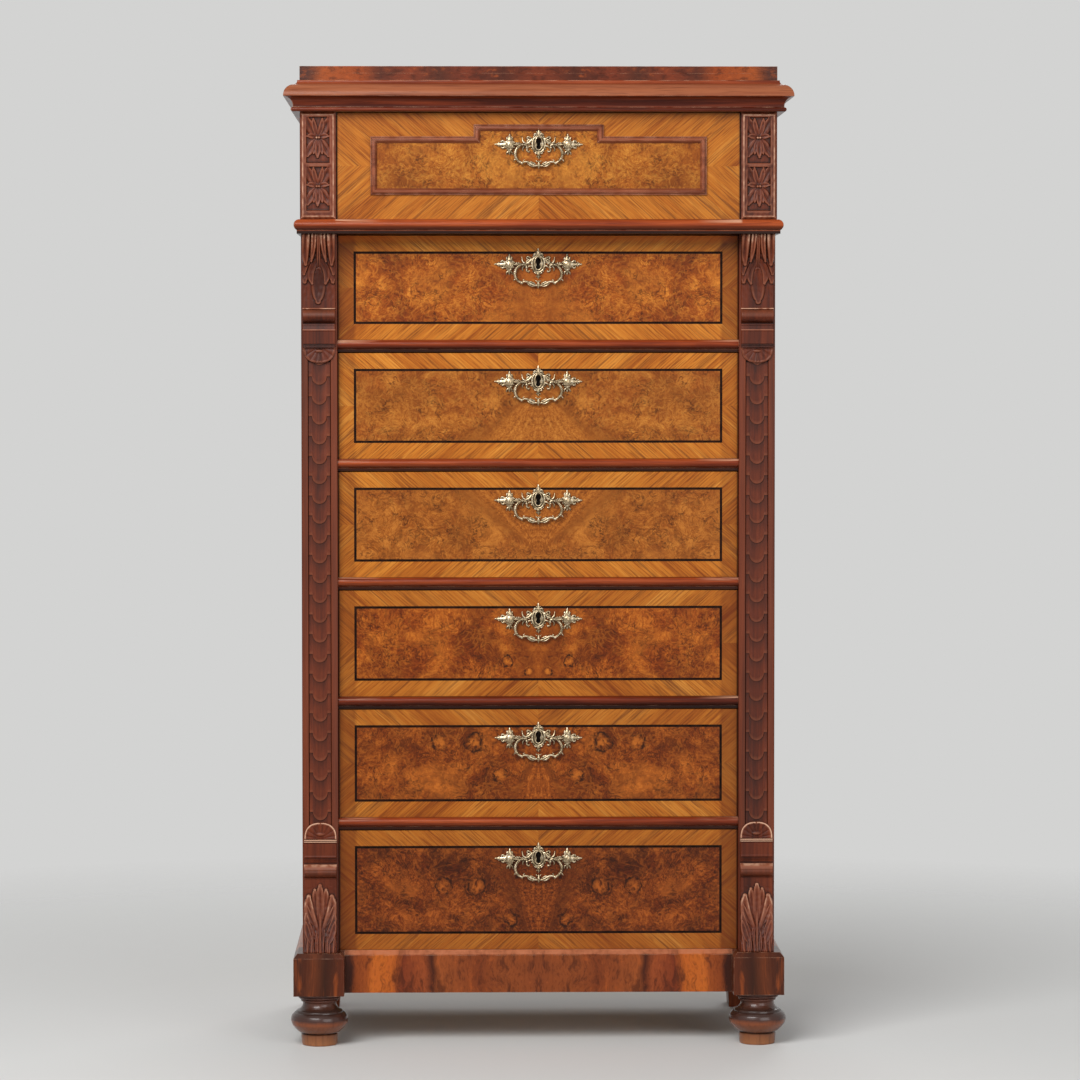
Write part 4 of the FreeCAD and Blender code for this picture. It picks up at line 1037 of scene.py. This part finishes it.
# ---------------------------------------------------------------- handles
class Casting:
    """Points and faces of a cast ornament, in millimetres from the keyhole's middle. It is drawn
    across, out from the drawer's face, and up. What leaves the centre line has a mirror image."""

    def __init__(self):
        self.points = []
        self.faces = []

    def add(self, points, faces, mirror):
        for sign in (1, -1) if mirror else (1,):
            base = len(self.points)
            self.points += [(sign * x, y, z) for x, y, z in points]
            self.faces += [tuple(base + i for i in face[::sign]) for face in faces]

    def tube(self, path, radii, flat=1.0, count=8, fine=5):
        """A smooth rod through the points of its path."""
        path = np.array(path, float) * (1, -1, 1)
        ends = np.concatenate([[2 * path[0] - path[1]], path, [2 * path[-1] - path[-2]]])
        radii = np.interp(np.linspace(0, 1, len(path)), np.linspace(0, 1, len(radii)), radii)
        line, sizes = [], []
        for i in range(len(path) - 1):
            p0, p1, p2, p3 = ends[i:i + 4]
            for t in np.arange(fine) / fine:
                line.append(0.5 * (2 * p1 + (p2 - p0) * t + (2 * p0 - 5 * p1 + 4 * p2 - p3) * t ** 2
                                   + (3 * p1 - p0 - 3 * p2 + p3) * t ** 3))
                sizes.append(radii[i] * (1 - t) + radii[i + 1] * t)
        line = np.array(line + [path[-1]])
        tangent = np.gradient(line, axis=0)
        tangent /= np.linalg.norm(tangent, axis=1)[:, None]
        outward = np.array([0.0, -1.0, 0.0])
        side = np.cross(tangent, outward)
        side /= np.linalg.norm(side, axis=1)[:, None]
        points = [centre + size * (cos(angle) * across + flat * sin(angle) * outward)
                  for centre, across, size in zip(line, side, sizes + [radii[-1]]) for angle in turns(count)]
        self.add(points, rod_faces(len(line), count), path[:, 0].any())

    def ball(self, x, out, z, across, up, deep, rings=6, count=10, mirror=None):
        """A rounded knob."""
        points = [(x, -out, z + up)]
        for i in range(1, rings):
            polar = pi * i / rings
            points += [(x + across * sin(polar) * cos(angle), -out - deep * sin(polar) * sin(angle),
                        z + up * cos(polar)) for angle in turns(count)]
        points.append((x, -out, z - up))
        faces = []
        for k in range(count):
            j = (k + 1) % count
            faces.append((0, 1 + j, 1 + k))
            for a in range(1, 1 + (rings - 2) * count, count):
                faces.append((a + k, a + j, a + count + j, a + count + k))
            a = 1 + (rings - 2) * count
            faces.append((len(points) - 1, a + k, a + j))
        self.add(points, faces, x != 0 if mirror is None else mirror)

    def ring(self, x, z, across, up, out, thick, steps):
        """A closed oval moulding."""
        points = []
        for turn in turns(steps):
            for angle in turns(8):
                grow = thick * cos(angle)
                points.append((x + (across + grow) * cos(turn), -out - thick * sin(angle),
                               z + (up + grow) * sin(turn)))
        self.add(points, hoop_faces(steps, 8), x != 0)

    def mesh(self, name):
        return make_mesh(name, np.array(self.points) * mm, self.faces, smooth=60)


TINY = {"rings": 4, "count": 6}
boss_x, boss_z = 41.3, -0.8


def escutcheon(casting):
    """The escutcheon's sheet with its keyhole, two rings and a row of beads."""
    outline = [(0, 19.5), (2.2, 15.0), (5.6, 12.6), (8.6, 9.0), (10.6, 3.8), (10.6, -2.6), (8.6, -7.6),
               (5.2, -11.6), (2.0, -15.0), (0, -19.5)]
    hole = [(0, -6.9), (3.6, -6.9), (2.5, 0.0), (3.7, 2.8), (3.8, 5.8), (2.3, 8.4), (0, 9.2)]
    points, faces = prism(outline + hole, -1.6, 0.0)
    casting.add(points, [face[::-1] for face in faces], mirror=True)
    casting.ring(0, 0.2, 9.2, 11.6, 1.8, 1.4, 36)
    casting.ring(0, 1.1, 5.2, 9.6, 2.2, 1.0, 32)
    for angle in turns(18):
        angle += pi / 18
        casting.ball(11.2 * cos(angle), 1.5, 0.2 + 13.6 * sin(angle), 1.15, 1.15, 1.1, mirror=False, **TINY)


def boss(casting):
    """A boss with its beads, crest, tail and outer leaf."""
    tube, ball = casting.tube, casting.ball
    casting.ring(boss_x, boss_z, 6.0, 6.0, 2.2, 1.1, 20)
    casting.ring(boss_x, boss_z, 4.7, 4.7, 7.4, 0.9, 20)
    ball(boss_x, 7.0, -0.6, 4.7, 6.4, 2.8, rings=8, count=16)
    for angle in turns(12):
        ball(boss_x + 7.0 * cos(angle), 1.8, boss_z + 7.6 * sin(angle), 1.4, 1.4, 1.4)
    tube([(boss_x, 1.8, 4.6), (boss_x, 2.4, 9.0), (boss_x, 1.6, 14.6)], [4.4, 2.6, 0.6], 0.6)
    ball(boss_x, 2.2, 11.0, 1.9, 1.3, 1.3)
    tube([(boss_x, 1.8, -6.0), (boss_x, 2.4, -10.0), (boss_x, 1.4, -15.4)], [4.6, 2.8, 0.7], 0.6)
    for leaf, radii in ((((1.1, 1.8, 6.4), (3.7, 2.0, 8.0), (3.3, 1.8, 10.2)), [1.2, 1.3, 0.8]),
                        (((0.9, 1.8, -9.6), (3.7, 2.0, -12.0), (4.3, 1.6, -15.0)), [1.4, 1.2, 0.6])):
        for way in (1, -1):
            tube([(boss_x + way * across, out, z) for across, out, z in leaf], radii)
    tube([(47.0, 1.8, -0.6), (52.0, 2.2, -0.4), (58.0, 1.8, -0.2), (63.0, 1.2, -0.2)],
         [4.2, 3.0, 1.9, 0.6], 0.55)
    for share in (0.0, 0.4, 0.8):
        for way in (1, -1):
            ball(49.5 + 9.0 * share, 2.4, -0.3 + way * (4.6 - 2.8 * share), 1.3, 1.0, 1.2, **TINY)
    tube([(47.6, 1.8, 1.4), (50.6, 2.2, 4.6), (53.6, 1.8, 4.0)], [1.5, 1.4, 0.8])
    tube([(47.6, 1.8, -2.6), (50.6, 2.2, -5.4), (53.6, 1.8, -4.8)], [1.5, 1.4, 0.8])
    ball(55.4, 2.0, -0.3, 1.7, 2.4, 1.5)
    ball(59.6, 1.7, -0.2, 1.3, 1.6, 1.2)


def plate_casting():
    casting = Casting()
    tube, ball = casting.tube, casting.ball
    escutcheon(casting)
    # finial over the escutcheon
    tube([(0, 1.6, 11.5), (0, 2.0, 17.0), (0, 1.8, 22.4)], [2.6, 2.0, 0.8], 0.7)
    ball(0, 2.2, 14.4, 2.4, 1.6, 1.4)
    ball(0, 2.0, 18.6, 1.7, 1.3, 1.3)
    ball(2.6, 1.8, 17.0, 1.1, 1.1, 1.1)
    tube([(1.0, 1.8, 13.0), (4.4, 2.2, 14.8), (6.2, 2.0, 13.2), (5.4, 1.8, 11.4)], [1.0, 1.4, 1.0])
    # pendant under it
    tube([(0, 1.6, -11.5), (0, 2.2, -15.5), (0, 1.6, -20.6)], [2.8, 2.0, 1.0], 0.7)
    ball(0, 2.4, -14.0, 2.6, 1.8, 1.5)
    ball(0, 2.0, -18.4, 1.6, 1.2, 1.3)
    ball(2.4, 1.8, -17.6, 1.2, 1.0, 1.1)
    tube([(1.2, 1.8, -12.4), (4.2, 2.0, -13.0), (5.4, 1.8, -11.2)], [0.9, 1.1, 0.7])
    # shoulders, wings and bar out to each boss
    tube([(7.0, 1.8, 8.4), (9.6, 2.4, 7.0), (12.4, 2.4, 3.4), (16.0, 2.2, 1.2), (21.0, 2.0, 0.2)],
         [1.1, 1.5, 1.8, 1.7, 1.4], 0.8)
    tube([(8.8, 2.2, 5.8), (11.6, 2.2, 8.8), (14.6, 2.0, 10.4), (16.6, 1.8, 9.0), (15.6, 1.8, 7.2)],
         [1.0, 1.3, 1.2, 1.0, 0.8])
    tube([(16.8, 2.0, 0.6), (20.0, 2.4, 1.4), (22.6, 2.2, 4.6), (23.6, 1.6, 10.4)], [1.0, 1.6, 1.2, 0.35])
    tube([(9.6, 2.0, -2.4), (13.0, 2.4, -3.2), (16.2, 2.2, -6.0), (16.6, 2.0, -9.6), (14.0, 1.8, -11.0),
          (12.6, 1.8, -9.4)], [1.4, 1.4, 1.2, 1.2, 1.2, 0.8])
    tube([(17.0, 2.0, -1.6), (20.4, 2.4, -3.0), (22.8, 2.0, -6.4), (22.0, 1.6, -10.2)], [1.2, 1.5, 1.0, 0.4])
    tube([(10.8, 2.0, 5.0), (13.6, 2.4, 6.2), (16.2, 2.4, 4.0), (15.6, 2.2, 0.6), (12.8, 2.0, 0.4)],
         [1.2, 1.5, 1.6, 1.3, 1.0], 0.8)
    ball(14.0, 2.0, -10.8, 1.5, 1.5, 1.4)
    for x in (28.0, 31.0, 34.0):
        ball(x, 2.2, 1.9, 1.2, 1.2, 1.2, **TINY)
        ball(x, 2.2, -1.3, 1.2, 1.2, 1.2, **TINY)
    ball(18.4, 2.4, 0.2, 1.9, 1.7, 1.6)
    tube([(20.0, 1.6, 0.0), (27.0, 1.8, 0.4), (36.0, 1.6, 0.2)], [1.7, 1.3, 1.6], 0.8)
    ball(24.6, 1.8, 0.2, 1.7, 1.5, 1.4)
    boss(casting)
    return casting.mesh("handle_plate_casting")


def bail_casting():
    casting = Casting()
    out = 6.5

    def rod(path, radii, **more):
        casting.tube([(x, out, z) for x, z in path], radii, **more)

    rod([(39.2, -1.0), (34.0, -0.8), (27.0, -1.4), (23.0, -0.8)], [1.5, 1.3, 1.2, 1.0])
    arm = [(16.6, -4.4), (17.2, -2.2), (19.8, -0.8), (23.4, -1.0), (27.2, -2.6), (30.8, -6.0), (33.0, -10.4),
           (33.5, -15.0), (32.0, -20.2), (28.6, -24.2), (24.0, -26.8)]
    rod(arm, [0.8, 1.5, 1.7, 1.8, 1.9, 2.1, 2.2, 2.2, 2.1, 1.9, 1.4], fine=4)
    # thirteen ribs laid slantwise over the arm
    line = np.array(arm)
    length = np.concatenate([[0], np.cumsum(np.hypot(*np.diff(line, axis=0).T))])
    for distance in np.linspace(0.14, 0.88, 13) * length[-1]:
        here, ahead = (np.array([np.interp(d, length, line[:, i]) for i in (0, 1)])
                       for d in (distance, distance + 1.0))
        way = (ahead - here) / np.hypot(*(ahead - here))
        reach = 2.0 * np.array([-way[1], way[0]]) + 0.9 * way
        rib = [(x, out + lift, z) for (x, z), lift in
               ((here - reach, 0.8), (here, 2.2), (here + reach, 0.8))]
        casting.tube(rib, [0.6, 0.85, 0.6], fine=3, count=6)
    casting.ball(17.0, out, -4.8, 1.7, 1.7, 1.6)
    casting.ball(23.6, out, -26.9, 2.3, 2.4, 2.1)
    rod([(23.4, -26.8), (20.0, -25.2), (15.0, -25.8), (10.0, -28.8), (4.0, -30.8), (0, -30.0)],
        [1.2, 1.5, 1.6, 1.9, 1.6, 1.6], fine=6)
    rod([(20.5, -25.4), (21.6, -23.2), (20.2, -22.0)], [1.0, 0.8, 0.5])
    rod([(14.0, -26.6), (10.6, -25.6), (7.0, -27.2), (4.6, -28.2)], [0.8, 1.2, 1.1, 0.7])
    rod([(16.0, -27.4), (13.0, -30.0), (9.0, -31.8), (5.6, -31.8)], [0.7, 1.2, 1.1, 0.6])
    casting.ball(7.6, out + 0.6, -29.8, 2.3, 1.7, 1.9)
    casting.ball(12.6, out + 0.4, -27.6, 1.3, 1.1, 1.4)
    rod([(31.6, -21.0), (34.2, -22.4), (35.6, -24.6)], [1.3, 1.0, 0.4])
    casting.tube([(0, out, -23.4), (0, out + 0.6, -26.6), (0, out + 0.6, -31.6), (0, out, -35.0)],
                 [0.6, 1.5, 1.9, 0.6])
    rod([(0, -25.4), (2.4, -24.6), (3.8, -23.2)], [1.0, 0.9, 0.5])
    casting.ball(0, out + 0.8, -28.8, 2.3, 2.3, 2.1)
    casting.ball(0, out + 0.4, -33.0, 1.5, 1.2, 1.4)
    return casting.mesh("bail_casting")


def handles():
    plate_mesh = plate_casting()
    bail_mesh = bail_casting()
    for number in drawer_numbers:
        face, keyhole = handle_place(number)
        drawer = f"drawer_{number}"
        add_piece(f"{drawer}_plate", plate_mesh, drawer, metal, (0.0, face - veneer, keyhole))
        add_piece(f"{drawer}_pull", bail_mesh, f"bail_{number}", metal, (0.0, face, keyhole))
        stands_for(f"{drawer}_handle_plate")
        stands_for(f"{drawer}_bail")


# ---------------------------------------------------------------- CAD nodes that stay
def dress_nodes():
    looks = [(side_walnut, "side_panel_right side_panel_left"), (back_pine, "back_panel"),
             (pine, "bottom_board top_board"), (cornice_walnut, "cornice_moulding"),
             (attic_veneer, "attic_box"), (moulding_walnut, "waist_moulding drawer_rails"),
             (drawer_pine, "drawer_runners"), (plinth_veneer, "plinth_rails"),
             (block_veneer, "plinth_blocks")]
    for number in drawer_numbers:
        looks += [(core, f"drawer_{number}_front"), (drawer_pine, f"drawer_{number}_box"),
                  (lock_metal, f"drawer_{number}_lock drawer_{number}_lock_bolt")]
    for material, names in looks:
        for name in names.split():
            if len(nodes[name].material_slots) == 0:
                nodes[name].data.materials.append(material)
            for slot in nodes[name].material_slots:
                slot.link = "OBJECT"
                slot.material = material


# ---------------------------------------------------------------- camera, lights and stage
def place_camera():
    """The photograph's viewpoint: far off, a little left of the middle, looking slightly down."""
    yaw, pitch, roll = 0.01999, 0.04228, -0.000446
    ahead = Vector((sin(yaw) * cos(pitch), cos(yaw) * cos(pitch), -sin(pitch)))
    level = Vector((cos(yaw), -sin(yaw), 0.0))
    above = level.cross(ahead)
    right = cos(roll) * level + sin(roll) * above
    up = -sin(roll) * level + cos(roll) * above
    data = bpy.data.cameras.new("camera")
    data.lens = 140.0
    data.sensor_width = 36.0
    camera = show("camera", data)
    turn = Matrix((right, up, -ahead)).transposed().to_4x4()
    camera.matrix_world = Matrix.Translation((-0.118, -6.1813, 0.9804)) @ turn
    bpy.context.scene.camera = camera


def light_scene():
    """Three large lamps, and a grey background that shines less than it looks."""
    middle = Vector((0.0, 0.0, 0.75))
    for name, place, size, power in (("window", (-1.4, -3.0, 2.75), (2.4, 1.8), 150.0),
                                     ("fill", (2.2, -3.8, 1.3), (2.6, 2.4), 58.0),
                                     ("back", (0.6, 3.6, 3.0), (2.6, 2.0), 60.0)):
        data = bpy.data.lights.new(name, "AREA")
        data.shape = "RECTANGLE"
        data.size, data.size_y = size
        data.energy = power
        lamp = show(name, data)
        lamp.location = place
        lamp.rotation_euler = (middle - Vector(place)).to_track_quat("-Z", "Y").to_euler()
    world = bpy.data.worlds.new("studio")
    bpy.context.scene.world = world
    world.use_nodes = True
    tree = world.node_tree
    shine = tree.nodes["Background"]
    seen, path, rays, mix = (tree.nodes.new("ShaderNode" + kind)
                             for kind in ("Background", "LightPath", "Math", "MixShader"))
    shine.inputs["Color"].default_value = (1.0, 1.0, 1.0, 1.0)
    shine.inputs["Strength"].default_value = 0.17
    seen.inputs["Color"].default_value = linear((211, 211, 210))
    rays.operation = "MAXIMUM"
    for source, target in ((path.outputs["Is Camera Ray"], rays.inputs[0]),
                           (path.outputs["Is Glossy Ray"], rays.inputs[1]), (rays.outputs[0], mix.inputs[0]),
                           (shine.outputs[0], mix.inputs[1]), (seen.outputs[0], mix.inputs[2]),
                           (mix.outputs[0], tree.nodes["World Output"].inputs[0])):
        tree.links.new(source, target)


def floor():
    """A pale floor that fades into the background away from the chest."""
    f = Finish("floor", Roughness=0.8, Base_Color=linear((214, 214, 212)))
    fade = f.between(f.length(f.place), 0.7, 2.2)
    clear = f.output("BsdfTransparent", 0)
    mix = f.output("MixShader", 0, {0: fade, 1: Number(f, f.shader.outputs[0]), 2: clear})
    f.tree.links.new(mix.socket, f.tree.nodes["Material Output"].inputs[0])
    rim = [(2.4 * cos(angle), 2.4 * sin(angle), 0.0) for angle in turns(64)]
    faces = [(0, i + 1, (i + 1) % len(rim) + 1) for i in range(len(rim))]
    mesh = make_mesh("floor", [(0.0, 0.0, 0.0), *rim], faces)
    mesh.materials.append(f.material)
    show("floor", mesh)


# ---------------------------------------------------------------- everything
place_camera()
light_scene()
floor()
dress_nodes()
consoles()
pilasters()
frieze_blocks()
feet()
for drawer_number in drawer_numbers:
    drawer_front(drawer_number)
shaped_moulding()
handles()

bpy.context.scene.view_settings.view_transform = "Standard"
